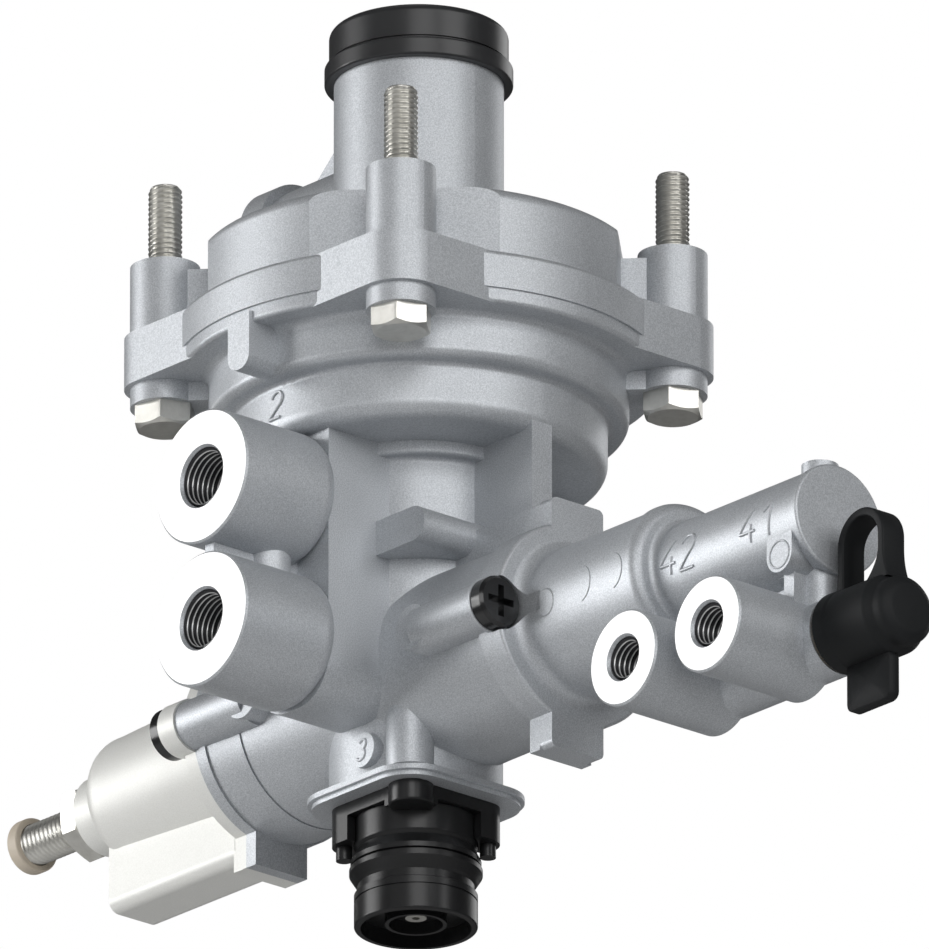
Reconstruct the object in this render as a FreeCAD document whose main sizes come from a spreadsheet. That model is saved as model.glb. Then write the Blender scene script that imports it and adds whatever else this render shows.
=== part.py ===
import FreeCAD, Part
import Sketcher
import math
import os

# Brake force regulator with an integrated relay valve, for an air brake system.
# Frame: the origin is the centre of the four mounting studs, in the plane of the tops of
# the cover bosses. +Z is up, +X runs along the load cylinder to the test connection, and
# the large ports open towards -Y.

document = FreeCAD.newDocument("brake_force_regulator")
sheet = document.addObject("Spreadsheet::Sheet", "Dim")

driving_sizes = {
    # Studs and their bosses
    "stud_gap": 6.755,
    "stud_r": 4.0,
    "bolt_shank_r": 3.8,
    "stud_reach": 20.0,
    "stud_hole_r": 4.3,
    "bolt_seat_z": -35.1,
    "bolt_head_flats": 13.0,
    "bolt_head_height": 5.3,
    "boss_r": 8.2,
    "lug_r": 9.5,
    "lug_post_r": 8.1,
    "lug_web_half": 5.5,
    # Upper cover
    "seam_z": -27.0,
    "cover_flange_top": -17.8,
    "cover_r": 52.5,
    "cover_flange_step": 4.5,
    "cover_flat": 47.6,
    "cover_wall": 9.0,
    "cover_roof": 5.0,
    "column_r": 19.86,
    "column_bore_r": 16.0,
    "column_top": 53.6,
    "column_roof": 5.0,
    "pilot_port_z": 19.0,
    "pilot_port_x": -50.0,
    "pilot_tube_r": 10.5,
    "pilot_boss_r": 12.6,
    "pilot_boss_length": 8.0,
    "column_rib_start": -35.0,
    "column_rib_low": 29.0,
    "column_rib_high": 43.0,
    "column_rib_thickness": 4.0,
    # Top cap
    "cap_rim_step": 1.07,
    "cap_rim_z": 43.8,
    "cap_rim_height": 4.4,
    "cap_wall": 1.04,
    "cap_top_z": 57.1,
    "cap_groove": 0.8,
    "cap_fit": 0.1,
    # Main housing bowl and turret
    "rim_step": 3.9,
    "rim_thickness": 3.5,
    "ring_one_step": 3.5,
    "ring_one_z": -41.7,
    "ring_two_step": 8.5,
    "bowl_z": -54.5,
    "bowl_wall": 4.0,
    "bowl_bore_z": -37.6,
    "bowl_lower_wall": 4.5,
    "bowl_floor": 4.0,
    "step_ring_r": 26.7,
    "step_ring_height": 3.1,
    "turret_r": 23.5,
    "turret_bore_r": 18.0,
    "turret_floor_z": -82.0,
    "finger_x": 1.85,
    "finger_width": 7.5,
    "finger_y": -57.0,
    "web_thickness": 6.2,
    "web_reach": 43.5,
    # Horizontal load cylinder
    "axis_z": -106.4,
    "barrel_r": 24.0,
    "barrel_left": -52.0,
    "barrel_right": 51.7,
    "load_bore_r": 14.0,
    "end_flange_r": 24.5,
    "end_flange": 3.4,
    "ear_half": 7.9,
    "ridge_height": 29.2,
    "ear_top": 30.2,
    "ear_bottom": 31.4,
    "screw_offset": 24.0,
    "screw_boss_r": 6.0,
    "screw_boss_start": 30.0,
    "screw_stub_r": 5.4,
    "screw_stub_reach": 28.5,
    "screw_stub_start": 12.0,
    "barrel_groove_x": -37.0,
    "barrel_groove": 0.4,
    # Ports
    "supply_block_half": 12.5,
    "supply_block_reach": 38.5,
    "supply_block_bottom": 14.6,
    "supply_block_round": 10.5,
    "supply_boss_r": 16.2,
    "supply_boss_end": 37.5,
    "supply_boss_round": 4.5,
    "supply_face_y": -66.6,
    "supply_upper_z": -70.0,
    "supply_lower_z": -105.2,
    "supply_bore_r": 7.25,
    "supply_bore_depth": 14.0,
    "passage_r": 5.2,
    "port_web": 3.0,
    "inlet_boss_r": 17.5,
    "inlet_face_y": 60.0,
    "inlet_z": -73.0,
    "inlet_bore_r": 10.25,
    "inlet_bore_depth": 15.0,
    "face_bevel": 0.5,
    "mouth_step": 0.5,
    "mouth_depth": 0.8,
    "pin_lug_x": 25.35,
    "pin_lug_r": 4.25,
    "pin_lug_front": -24.0,
    "pin_lug_depth": 20.0,
    "pin_lug_z": -78.4,
    # Bottom neck
    "neck_x": -0.9,
    "neck_r": 20.2,
    "neck_top": -112.0,
    "neck_post_offset": 14.4,
    "neck_post_r": 5.6,
    "neck_post_top": -115.7,
    "number_pad_x": 4.2,
    "number_pad_z": -127.6,
    "number_pad_r": 4.2,
    "number_pad_y": -21.0,
    "neck_bore_r": 13.5,
    "neck_bore_depth": 10.0,
    "foot_top": -133.5,
    "foot_z": -136.0,
    "foot_half": 20.9,
    "foot_corner_r": 10.4,
    "foot_step": 1.0,
    "foot_step_z": -134.8,
    "exhaust_channel_y": 18.2,
    "exhaust_channel_r": 3.0,
    # Bellows head
    "head_flange": 4.3,
    "head_one_r": 17.9,
    "head_one_end": 96.8,
    "head_collar_r": 18.4,
    "head_collar_start": 93.4,
    "head_two_r": 12.9,
    "head_two_end": 147.0,
    "head_bore_one_r": 14.5,
    "head_bore_two_r": 9.5,
    "head_wall": 4.5,
    "bellows_port_a_x": 104.1,
    "bellows_port_b_x": 133.2,
    "bellows_port_z": -135.05,
    "bellows_boss_r": 11.5,
    "bellows_face_y": -28.4,
    "bellows_back_y": 1.9,
    "bellows_bore_r": 5.25,
    "bellows_bore_depth": 12.0,
    "test_bar_r": 9.2,
    "head_web": 3.4,
    "vent_stub_r": 4.3,
    "vent_stub_x": 140.5,
    "vent_stub_height": 15.0,
    "head_pad_x": 139.8,
    "head_pad_z": -115.9,
    "head_pad_r": 4.3,
    "head_pad_front": -12.0,
    "head_rib_front": -9.0,
    "head_rib_bottom": -130.0,
    "head_bead_r": 13.3,
    "head_bead_start": 145.2,
    # Test connection
    "fitting_r": 8.0,
    "fitting_length": 14.0,
    "fitting_bore_r": 4.2,
    "fitting_mouth_r": 2.3,
    "test_pin_r": 2.2,
    "dust_cap_r": 9.0,
    "dust_cap_rim_r": 9.5,
    "dust_cap_start": 148.0,
    "dust_cap_end": 171.0,
    "dust_cap_face_r": 7.1,
    "dust_cap_wall": 4.5,
    "strap_start": 153.0,
    "strap_end": 168.0,
    "strap_thickness": 2.0,
    "strap_half": 3.5,
    "strap_top": -108.0,
    "tab_bottom": -156.0,
    "tab_half": 1.6,
    # Spring housing and adjuster
    "left_flange": 5.6,
    "left_root_r": 17.5,
    "left_tip_r": 15.9,
    "left_shoulder_r": 5.0,
    "box_edge_r": 3.0,
    "left_end": -103.0,
    "left_bore_r": 12.4,
    "left_wall": 5.0,
    "left_entry_depth": 17.0,
    "box_half": 8.0,
    "box_start": -101.0,
    "box_end": -56.0,
    "box_bottom": -135.0,
    "collar_r": 8.0,
    "collar_thickness": 2.3,
    "nut_seat_r": 9.7,
    "nut_seat_end": -112.0,
    "nut_flats": 17.0,
    "nut_height": 6.0,
    "spindle_r": 5.0,
    "spindle_end": -138.0,
    "end_cap_r": 6.6,
    "end_cap_start": -136.3,
    "end_cap_end": -140.0,
    "seat_x": -88.0,
    "seat_thickness": 4.0,
    "seat_nose": 4.0,
    "spindle_inner_end": -82.0,
    # Cross-head screws
    "screw_head_r": 6.2,
    "screw_head_height": 3.8,
    "screw_shank_r": 2.5,
    "screw_length": 18.0,
    "screw_hole_r": 2.8,
    "screw_seat": 1.1,
    # Silencer
    "holder_post_offset": 9.9,
    "holder_post_r": 5.5,
    "holder_plate": 3.0,
    "holder_post_bottom": -140.6,
    "holder_bottom": -145.0,
    "holder_bore_r": 14.6,
    "holder_window": 6.6,
    "hook_bottom": -148.2,
    "hook_r": 1.9,
    "hook_offset": 11.8,
    "holder_collar": 5.0,
    "airway_r": 10.5,
    "silencer_r": 15.5,
    "silencer_shoulder_r": 15.2,
    "silencer_top_r": 12.8,
    "silencer_groove_r": 13.6,
    "silencer_lower_r": 14.37,
    "silencer_ring_z": -151.1,
    "silencer_bottom": -165.3,
    "silencer_wall": 1.5,
    "silencer_inner_r": 7.2,
    "rivet_r": 2.5,
    "rivet_hole_r": 0.9,
    "rivet_head": 1.4,
    "flap_thickness": 1.5,
    # Pistons, springs and their clearances
    "running_fit": 0.08,
    "seat_gap": 0.3,
    "control_piston_z": 22.0,
    "control_piston_height": 9.0,
    "control_stem_r": 6.0,
    "fan_r": 30.0,
    "fan_z": -24.2,
    "fan_height": 3.5,
    "diaphragm_step": 2.9,
    "diaphragm_hole_r": 22.0,
    "diaphragm_thickness": 1.2,
    "diaphragm_bead": 2.4,
    "relay_top_z": -30.2,
    "relay_height": 4.6,
    "relay_hub_r": 13.0,
    "relay_hub_bore_r": 9.0,
    "relay_hub_z": -56.0,
    "ring_section": 2.0,
    "seal_r": 16.6,
    "seal_half": 1.2,
    "seal_depth": 2.0,
    "seal_play": 0.05,
    "valve_disc_r": 13.5,
    "valve_disc_height": 3.0,
    "valve_lift": 2.8,
    "valve_tube_r": 6.0,
    "valve_tube_bore_r": 4.2,
    "valve_tube_z": -79.0,
    "valve_guide_top": -73.0,
    "valve_guide_z": -80.0,
    "tappet_r": 4.0,
    "tappet_rod_r": 3.0,
    "tappet_top": -66.0,
    "tappet_step_z": -87.5,
    "cam_low_r": 5.5,
    "cam_slope": 0.3333333,
    "cam_tail_x": 6.0,
    "cam_nose_x": 22.0,
    "cam_left": -45.0,
    "cam_right": 45.0,
    "cam_land": 15.0,
    "load_rod_r": 5.0,
    "large_piston_x": 76.0,
    "large_piston_length": 10.0,
    "small_piston_x": 124.0,
    "small_piston_length": 5.0,
    "spring_wire_r": 1.2,
    "load_spring_wire_r": 1.4,
}

for row, (alias, number) in enumerate(driving_sizes.items(), start=1):
    sheet.set(f"A{row}", alias)
    sheet.set(f"B{row}", str(number))
    sheet.setAlias(f"B{row}", alias)
document.recompute()


class Size:
    """A number together with the spreadsheet expression that it comes from."""

    def __init__(self, number, text):
        self.number = number
        self.text = text

    def __add__(self, other):
        other = as_size(other)
        return Size(self.number + other.number, f"({self.text} + {other.text})")

    def __sub__(self, other):
        other = as_size(other)
        return Size(self.number - other.number, f"({self.text} - {other.text})")

    def __mul__(self, other):
        other = as_size(other)
        return Size(self.number * other.number, f"({self.text} * {other.text})")

    def __truediv__(self, other):
        other = as_size(other)
        return Size(self.number / other.number, f"({self.text} / {other.text})")

    def __neg__(self):
        return Size(-self.number, f"(0 - {self.text})")

    def __radd__(self, other):
        return as_size(other) + self

    def __rsub__(self, other):
        return as_size(other) - self

    def __rmul__(self, other):
        return as_size(other) * self


def as_size(value):
    if isinstance(value, Size):
        return value
    return Size(float(value), f"({float(value)!r})")


def root(value):
    value = as_size(value)
    return Size(math.sqrt(value.number), f"sqrt({value.text})")


class Sheet:
    """Reads a cell of the spreadsheet by its alias."""

    def __getattr__(self, alias):
        return Size(float(sheet.get(alias)), f"Dim.{alias}")


d = Sheet()

# Sizes that follow from the sheet: the round parts of the bowl and the stud square keep
# their steps from the cover's radius
stud_distance = d.cover_r + d.stud_gap
stud_offset = stud_distance / math.sqrt(2)
lug_half = stud_offset + d.lug_r
cover_flange_r = d.cover_r + d.cover_flange_step
rim_r = d.cover_r + d.rim_step
ring_one_r = d.cover_r - d.ring_one_step
ring_two_r = d.cover_r - d.ring_two_step
bowl_bore_r = ring_one_r - d.bowl_wall
bowl_lower_bore_r = ring_two_r - d.bowl_lower_wall
diaphragm_r = d.cover_r - d.diaphragm_step


def bind(thing, path, value):
    thing.setExpression(path, as_size(value).text)


def place(thing, base, rotation=None):
    """Turns a primitive, then ties its position to the sheet."""
    if rotation:
        thing.Placement = FreeCAD.Placement(FreeCAD.Vector(), rotation)
    for letter, value in zip("xyz", base):
        if isinstance(value, Size):
            bind(thing, f".Placement.Base.{letter}", value)
        elif value:
            bind(thing, f".Placement.Base.{letter}", as_size(value))


x_direction = FreeCAD.Vector(1, 0, 0)
y_direction = FreeCAD.Vector(0, 1, 0)
z_direction = FreeCAD.Vector(0, 0, 1)
turn_to = {
    "+z": None,
    "-z": FreeCAD.Rotation(x_direction, 180),
    "+x": FreeCAD.Rotation(y_direction, 90),
    "-x": FreeCAD.Rotation(y_direction, -90),
    "+y": FreeCAD.Rotation(x_direction, -90),
    "-y": FreeCAD.Rotation(x_direction, 90),
}


def rod(name, radius, length, base, towards="+z"):
    """A cylinder from base towards one of the six directions."""
    thing = document.addObject("Part::Cylinder", name)
    bind(thing, "Radius", radius)
    bind(thing, "Height", length)
    place(thing, base, turn_to[towards])
    return thing


def cone(name, first, second, length, base, towards="+z"):
    thing = document.addObject("Part::Cone", name)
    bind(thing, "Radius1", first)
    bind(thing, "Radius2", second)
    bind(thing, "Height", length)
    place(thing, base, turn_to[towards])
    return thing


def block(name, low, high):
    """A box between two opposite corners."""
    thing = document.addObject("Part::Box", name)
    for path, start, end in zip(("Length", "Width", "Height"), low, high):
        bind(thing, path, as_size(end) - start)
    place(thing, low)
    return thing


def ball(name, radius, base):
    thing = document.addObject("Part::Sphere", name)
    bind(thing, "Radius", radius)
    place(thing, base)
    return thing


def ring(name, middle_r, section_r, base, towards="+z"):
    thing = document.addObject("Part::Torus", name)
    bind(thing, "Radius1", middle_r)
    bind(thing, "Radius2", section_r)
    place(thing, base, turn_to[towards])
    return thing


def prism(name, flats, height, base, towards="+z", sides=6):
    thing = document.addObject("Part::Prism", name)
    thing.Polygon = sides
    bind(thing, "Circumradius", as_size(flats) / 2 / math.cos(math.pi / sides))
    bind(thing, "Height", height)
    place(thing, base, turn_to[towards])
    return thing


def fuse(name, pieces):
    thing = document.addObject("Part::MultiFuse", name)
    thing.Shapes = pieces
    thing.Refine = True
    return thing


def fuse_in_turn(name, pieces):
    """Fuses pieces one after another, for solids that cross in many places."""
    whole = pieces[0]
    for index, piece in enumerate(pieces[1:], start=1):
        thing = document.addObject("Part::Fuse", f"{name}_{index}")
        thing.Base = whole
        thing.Tool = piece
        whole = thing
    return whole


def cut(name, base, tools):
    """Takes one or more pieces away from a solid."""
    thing = document.addObject("Part::Cut", name)
    thing.Base = base
    thing.Tool = tools[0] if len(tools) == 1 else fuse(name + "_tools", tools)
    return thing


def common(name, pieces):
    thing = document.addObject("Part::MultiCommon", name)
    thing.Shapes = pieces
    return thing


def group(name, pieces):
    """Separate solids that share one node."""
    thing = document.addObject("Part::Compound", name)
    thing.Links = pieces
    return thing


def origin_plane(body, role):
    return next(item for item in body.Origin.OriginFeatures if item.Role == role)


def draw_outline(body, name, role, corners):
    """A closed sketch. A corner is (across, up) or (across, up, rounding), and a rounded
    corner stands between one level and one upright line."""
    sketch = body.newObject("Sketcher::SketchObject", name)
    sketch.AttachmentSupport = [(origin_plane(body, role), "")]
    sketch.MapMode = "FlatFace"
    ends = []
    for index, corner in enumerate(corners):
        across, up = as_size(corner[0]), as_size(corner[1])
        if len(corner) < 3:
            ends.append(((across, up), (across, up), None))
            continue
        rounding = as_size(corner[2])
        sides = []
        for other in (corners[index - 1], corners[(index + 1) % len(corners)]):
            step_across = as_size(other[0]).number - across.number
            step_up = as_size(other[1]).number - up.number
            if abs(step_across) > abs(step_up):
                sides.append((across + rounding * math.copysign(1, step_across), up))
            else:
                sides.append((across, up + rounding * math.copysign(1, step_up)))
        ends.append((sides[0], sides[1], rounding))
    edges = []
    count = len(ends)
    for index, (start, end, rounding) in enumerate(ends):
        first = FreeCAD.Vector(start[0].number, start[1].number)
        second = FreeCAD.Vector(end[0].number, end[1].number)
        if rounding:
            across, up = as_size(corners[index][0]).number, as_size(corners[index][1]).number
            centre = first + second - FreeCAD.Vector(across, up)
            turn = (first - centre).cross(second - centre).z
            begin, finish = (first, second) if turn > 0 else (second, first)
            circle = Part.Circle(centre, z_direction, rounding.number)
            arc = Part.ArcOfCircle(circle, circle.parameter(begin), circle.parameter(finish))
            number = sketch.addGeometry(arc, False)
            joins = (1, 2) if turn > 0 else (2, 1)
            constraint = sketch.addConstraint(
                Sketcher.Constraint("Radius", number, rounding.number)
            )
            bind(sketch, f"Constraints[{constraint}]", rounding)
            edges.append((number, joins[0], joins[1], start, end))
        after = ends[(index + 1) % count][0]
        goal = FreeCAD.Vector(after[0].number, after[1].number)
        number = sketch.addGeometry(Part.LineSegment(second, goal), False)
        edges.append((number, 1, 2, end, after))
    for index, (number, begin, finish, start, end) in enumerate(edges):
        following = edges[(index + 1) % len(edges)]
        sketch.addConstraint(
            Sketcher.Constraint("Coincident", number, finish, following[0], following[1])
        )
        for kind, value in (("DistanceX", start[0]), ("DistanceY", start[1])):
            constraint = sketch.addConstraint(
                Sketcher.Constraint(kind, -1, 1, number, begin, value.number)
            )
            bind(sketch, f"Constraints[{constraint}]", value)
    return sketch


def turned(name, corners, axis="z", base=(0, 0, 0)):
    """A body of revolution. The corners are (radius, height) along the axis."""
    body = document.addObject("PartDesign::Body", name)
    if axis != "z":
        corners = [(corner[1], corner[0]) + tuple(corner[2:]) for corner in corners]
    role = "YZ_Plane" if axis == "y" else "XZ_Plane"
    sketch = draw_outline(body, name + "_profile", role, corners)
    feature = body.newObject("PartDesign::Revolution", name + "_turned")
    feature.Profile = (sketch, [])
    feature.ReferenceAxis = (sketch, ["V_Axis" if axis == "z" else "H_Axis"])
    feature.Angle = 360
    body.Tip = feature
    place(body, base)
    return body


def padded(name, corners, thickness, role="XY_Plane", base=(0, 0, 0)):
    """An outline pushed out along the plane's normal: +Z, -Y for XZ and +X for YZ."""
    body = document.addObject("PartDesign::Body", name)
    sketch = draw_outline(body, name + "_outline", role, corners)
    feature = body.newObject("PartDesign::Pad", name + "_pad")
    feature.Profile = sketch
    bind(feature, "Length", thickness)
    body.Tip = feature
    place(body, base)
    return body


def rounded_square(half, corner_r):
    half = as_size(half)
    return [
        (half, half, corner_r),
        (-half, half, corner_r),
        (-half, -half, corner_r),
        (half, -half, corner_r),
    ]


def spring(name, middle_r, wire_r, start, length, turns, towards="+z", lift=None):
    """A coil spring, swept once from its sizes."""
    middle_r, wire_r = as_size(middle_r).number, as_size(wire_r).number
    start, length = as_size(start).number, as_size(length).number
    height = length - 2 * wire_r
    path = Part.makeHelix(height / turns, height, middle_r)
    section = Part.Wire(
        Part.Circle(FreeCAD.Vector(middle_r, 0, 0), y_direction, wire_r).toShape()
    )
    solid = Part.Wire(path.Edges).makePipeShell([section], True, True)
    thing = document.addObject("Part::Feature", name)
    thing.Shape = solid
    along = {"+z": z_direction, "+x": x_direction}[towards] * (start + wire_r)
    if lift is not None:
        along = along + FreeCAD.Vector(0, 0, as_size(lift).number)
    thing.Placement = FreeCAD.Placement(along, turn_to[towards] or FreeCAD.Rotation())
    return thing


signs = (1, -1)
corners_of_square = [(across, along) for across in signs for along in signs]
exported = []


def keep(node, thing):
    thing.Label = node
    exported.append((node, thing))


# Cover bolts: hexagon heads under the lugs, free threads above the bosses
def make_cover_bolts():
    bolts = []
    for index, (across, along) in enumerate(corners_of_square):
        x, y = across * stud_offset, along * stud_offset
        shank = rod(f"bolt_shank_{index}", d.bolt_shank_r, -d.bolt_seat_z, (x, y, d.bolt_seat_z))
        stud = rod(f"bolt_stud_{index}", d.stud_r, d.stud_reach, (x, y, 0))
        head = prism(
            f"bolt_hexagon_{index}", d.bolt_head_flats, d.bolt_head_height,
            (x, y, d.bolt_seat_z), "-z",
        )
        limit = cone(
            f"bolt_bevel_{index}", d.bolt_head_flats * 0.62, d.bolt_head_flats * 0.47,
            d.bolt_head_height, (x, y, d.bolt_seat_z), "-z",
        )
        head = common(f"bolt_head_{index}", [head, limit])
        bolts.append(fuse(f"bolt_{index}", [shank, stud, head]))
    keep("cover_bolts", group("cover_bolts_group", bolts))


def square_lugs(name, lug_r, top, depth):
    """Four round lugs on the stud circle."""
    return [
        rod(f"{name}_{index}", lug_r, depth, (x * stud_offset, y * stud_offset, top), "-z")
        for index, (x, y) in enumerate(corners_of_square)
    ]


def diagonal_blocks(name, inner, outer, half, low, high):
    """Four blocks that run outwards along the diagonals, between two distances."""
    blocks = []
    for index, (x, y) in enumerate(corners_of_square):
        angle = math.atan2(y, x)
        ahead, aside = math.cos(angle), math.sin(angle)
        thing = document.addObject("Part::Box", f"{name}_{index}")
        bind(thing, "Length", as_size(outer) - inner)
        bind(thing, "Width", as_size(half) * 2)
        bind(thing, "Height", as_size(high) - low)
        start = (
            inner * ahead + half * aside,
            inner * aside - half * ahead,
            low,
        )
        place(thing, start, FreeCAD.Rotation(z_direction, math.degrees(angle)))
        blocks.append(thing)
    return blocks


# Upper cover: a cup with a column, four bolt bosses and the pilot port
def make_upper_cover():
    drum = turned(
        "cover_drum",
        [
            (0, d.cover_flange_top - 2),
            (d.cover_r, d.cover_flange_top - 2),
            (d.cover_r, 0, 3.0),
            (0, 0),
        ],
    )
    flats = diagonal_blocks(
        "cover_flat", d.cover_flat, d.cover_r + 5, d.cover_r, d.cover_flange_top - 3, 1
    )
    drum = cut("cover_drum_cut", drum, flats)
    cup = turned(
        "cover_cup",
        [
            (0, d.seam_z),
            (cover_flange_r, d.seam_z),
            (cover_flange_r, d.cover_flange_top, 1.2),
            (d.cover_flat - 3, d.cover_flange_top),
            (d.cover_flat - 3, -1),
            (d.column_r + 3.2, -1),
            (d.column_r + 3.2, 0),
            (d.column_r, 0, 3.0),
            (d.column_r, d.column_top, 1.0),
            (0, d.column_top),
        ],
    )
    square = padded(
        "cover_square",
        rounded_square(lug_half, d.lug_r),
        d.cover_flange_top - d.seam_z,
        base=(0, 0, d.seam_z),
    )
    bosses = square_lugs("cover_boss", d.boss_r, 0, -d.cover_flange_top + 1)
    webs = diagonal_blocks(
        "cover_web", d.cover_flat - 3, stud_distance, d.boss_r * 0.72,
        d.cover_flange_top - 1, -2.5,
    )
    tube = rod(
        "pilot_tube", d.pilot_tube_r, -d.pilot_port_x - 3, (d.pilot_port_x + 3, 0, d.pilot_port_z),
        "+x",
    )
    boss = cone(
        "pilot_bevel", d.pilot_boss_r - d.face_bevel, d.pilot_boss_r, d.face_bevel,
        (d.pilot_port_x, 0, d.pilot_port_z), "+x",
    )
    end = rod(
        "pilot_boss", d.pilot_boss_r, d.pilot_boss_length - d.face_bevel,
        (d.pilot_port_x + d.face_bevel, 0, d.pilot_port_z), "+x",
    )
    stand = block(
        "pilot_stand", (d.pilot_port_x + 3, -d.pilot_tube_r + 2.5, -3),
        (0, d.pilot_tube_r - 2.5, d.pilot_port_z),
    )
    rib = padded(
        "column_rib",
        [
            (d.column_rib_start, d.pilot_port_z),
            (d.column_rib_start, d.column_rib_low),
            (-d.column_r + 0.5, d.column_rib_high),
            (-d.column_r + 4, d.column_rib_high),
            (-d.column_r + 4, d.pilot_port_z),
        ],
        d.column_rib_thickness, "XZ_Plane", (0, d.column_rib_thickness / 2, 0),
    )
    shell = fuse("cover_shell", [cup, drum, square, *bosses, *webs, tube, boss, end, stand, rib])
    cavity_r = d.cover_r - d.cover_wall
    cavity = turned(
        "cover_cavity",
        [
            (0, d.seam_z - 1),
            (diaphragm_r + 0.1, d.seam_z - 1),
            (diaphragm_r + 0.1, d.seam_z + d.diaphragm_thickness),
            (cavity_r, d.seam_z + d.diaphragm_thickness),
            (cavity_r, -d.cover_roof, 4.0),
            (d.column_bore_r, -d.cover_roof),
            (d.column_bore_r, d.column_top - d.column_roof),
            (0, d.column_top - d.column_roof),
        ],
    )
    thread = rod(
        "pilot_bore", d.supply_bore_r, d.supply_bore_depth,
        (d.pilot_port_x, 0, d.pilot_port_z), "+x",
    )
    passage = rod(
        "pilot_passage", d.passage_r - 1, -d.pilot_port_x, (d.pilot_port_x, 0, d.pilot_port_z),
        "+x",
    )
    mouth = port_mouth("pilot_mouth", d.supply_bore_r, (d.pilot_port_x, 0, d.pilot_port_z), "+x")
    holes = square_lugs("cover_hole", d.stud_hole_r, 1, 1 - d.seam_z + 1)
    keep("upper_cover", cut("upper_cover_cut", shell, [cavity, thread, passage, mouth, *holes]))


# Top cap: a snapped-on cover with a thicker rim and a groove above it
def make_top_cap():
    rim_top = d.cap_rim_z + d.cap_rim_height
    inner = d.column_r + d.cap_fit
    body = inner + d.cap_wall
    rim = body + d.cap_rim_step
    keep(
        "top_cap",
        turned(
            "top_cap_body",
            [
                (inner, d.cap_rim_z),
                (rim, d.cap_rim_z, 0.5),
                (rim, rim_top, 0.5),
                (body - 0.5, rim_top),
                (body - 0.5, rim_top + d.cap_groove),
                (body, rim_top + d.cap_groove),
                (body, d.cap_top_z, 1.8),
                (0, d.cap_top_z),
                (0, d.column_top),
                (inner, d.column_top),
            ],
        ),
    )


def port_boss(name, radius, face_y, back_y, x, z):
    """A round boss along Y with a bevelled face."""
    towards = "+y" if as_size(face_y).number < as_size(back_y).number else "-y"
    sign = 1 if towards == "+y" else -1
    inner = as_size(face_y) + sign * d.face_bevel
    return [
        cone(name + "_bevel", radius - d.face_bevel, radius, d.face_bevel, (x, face_y, z), towards),
        rod(name, radius, (as_size(back_y) - inner) * sign, (x, inner, z), towards),
    ]


# Main housing: bowl, turret, load cylinder, port bosses and bottom neck
def housing_outside():
    bowl = turned(
        "bowl",
        [
            (0, d.seam_z),
            (rim_r, d.seam_z),
            (rim_r, d.seam_z - d.rim_thickness, 1.0),
            (ring_one_r, d.seam_z - d.rim_thickness, 2.0),
            (ring_one_r, d.ring_one_z, 2.2),
            (ring_two_r, d.ring_one_z, 1.3),
            (ring_two_r, d.bowl_z, 4.0),
            (d.step_ring_r, d.bowl_z),
            (d.step_ring_r, d.bowl_z - d.step_ring_height, 0.8),
            (d.turret_r, d.bowl_z - d.step_ring_height, 1.2),
            (d.turret_r, d.axis_z),
            (0, d.axis_z),
        ],
    )
    square = padded(
        "housing_square",
        rounded_square(lug_half, d.lug_r),
        d.rim_thickness,
        base=(0, 0, d.seam_z - d.rim_thickness),
    )
    lugs = square_lugs("housing_lug", d.lug_post_r, d.seam_z, d.seam_z - d.bolt_seat_z)
    webs = diagonal_blocks(
        "housing_web", ring_one_r - 4, stud_distance, d.lug_web_half,
        d.bolt_seat_z, d.seam_z,
    )
    finger = padded(
        "finger",
        [
            (d.finger_x - d.finger_width / 2, d.seam_z - 1),
            (d.finger_x - d.finger_width / 2, d.ring_one_z, 3.4),
            (d.finger_x + d.finger_width / 2, d.ring_one_z, 3.4),
            (d.finger_x + d.finger_width / 2, d.seam_z - 1),
        ],
        -d.finger_y - ring_one_r + 4, "XZ_Plane", (0, -ring_one_r + 4, 0),
    )
    half_web = d.web_thickness / 2
    web = block("cross_web", (-d.web_reach, -half_web, d.axis_z), (d.web_reach, half_web, d.bowl_z + 2))
    return [bowl, square, *lugs, *webs, finger, web]


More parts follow.
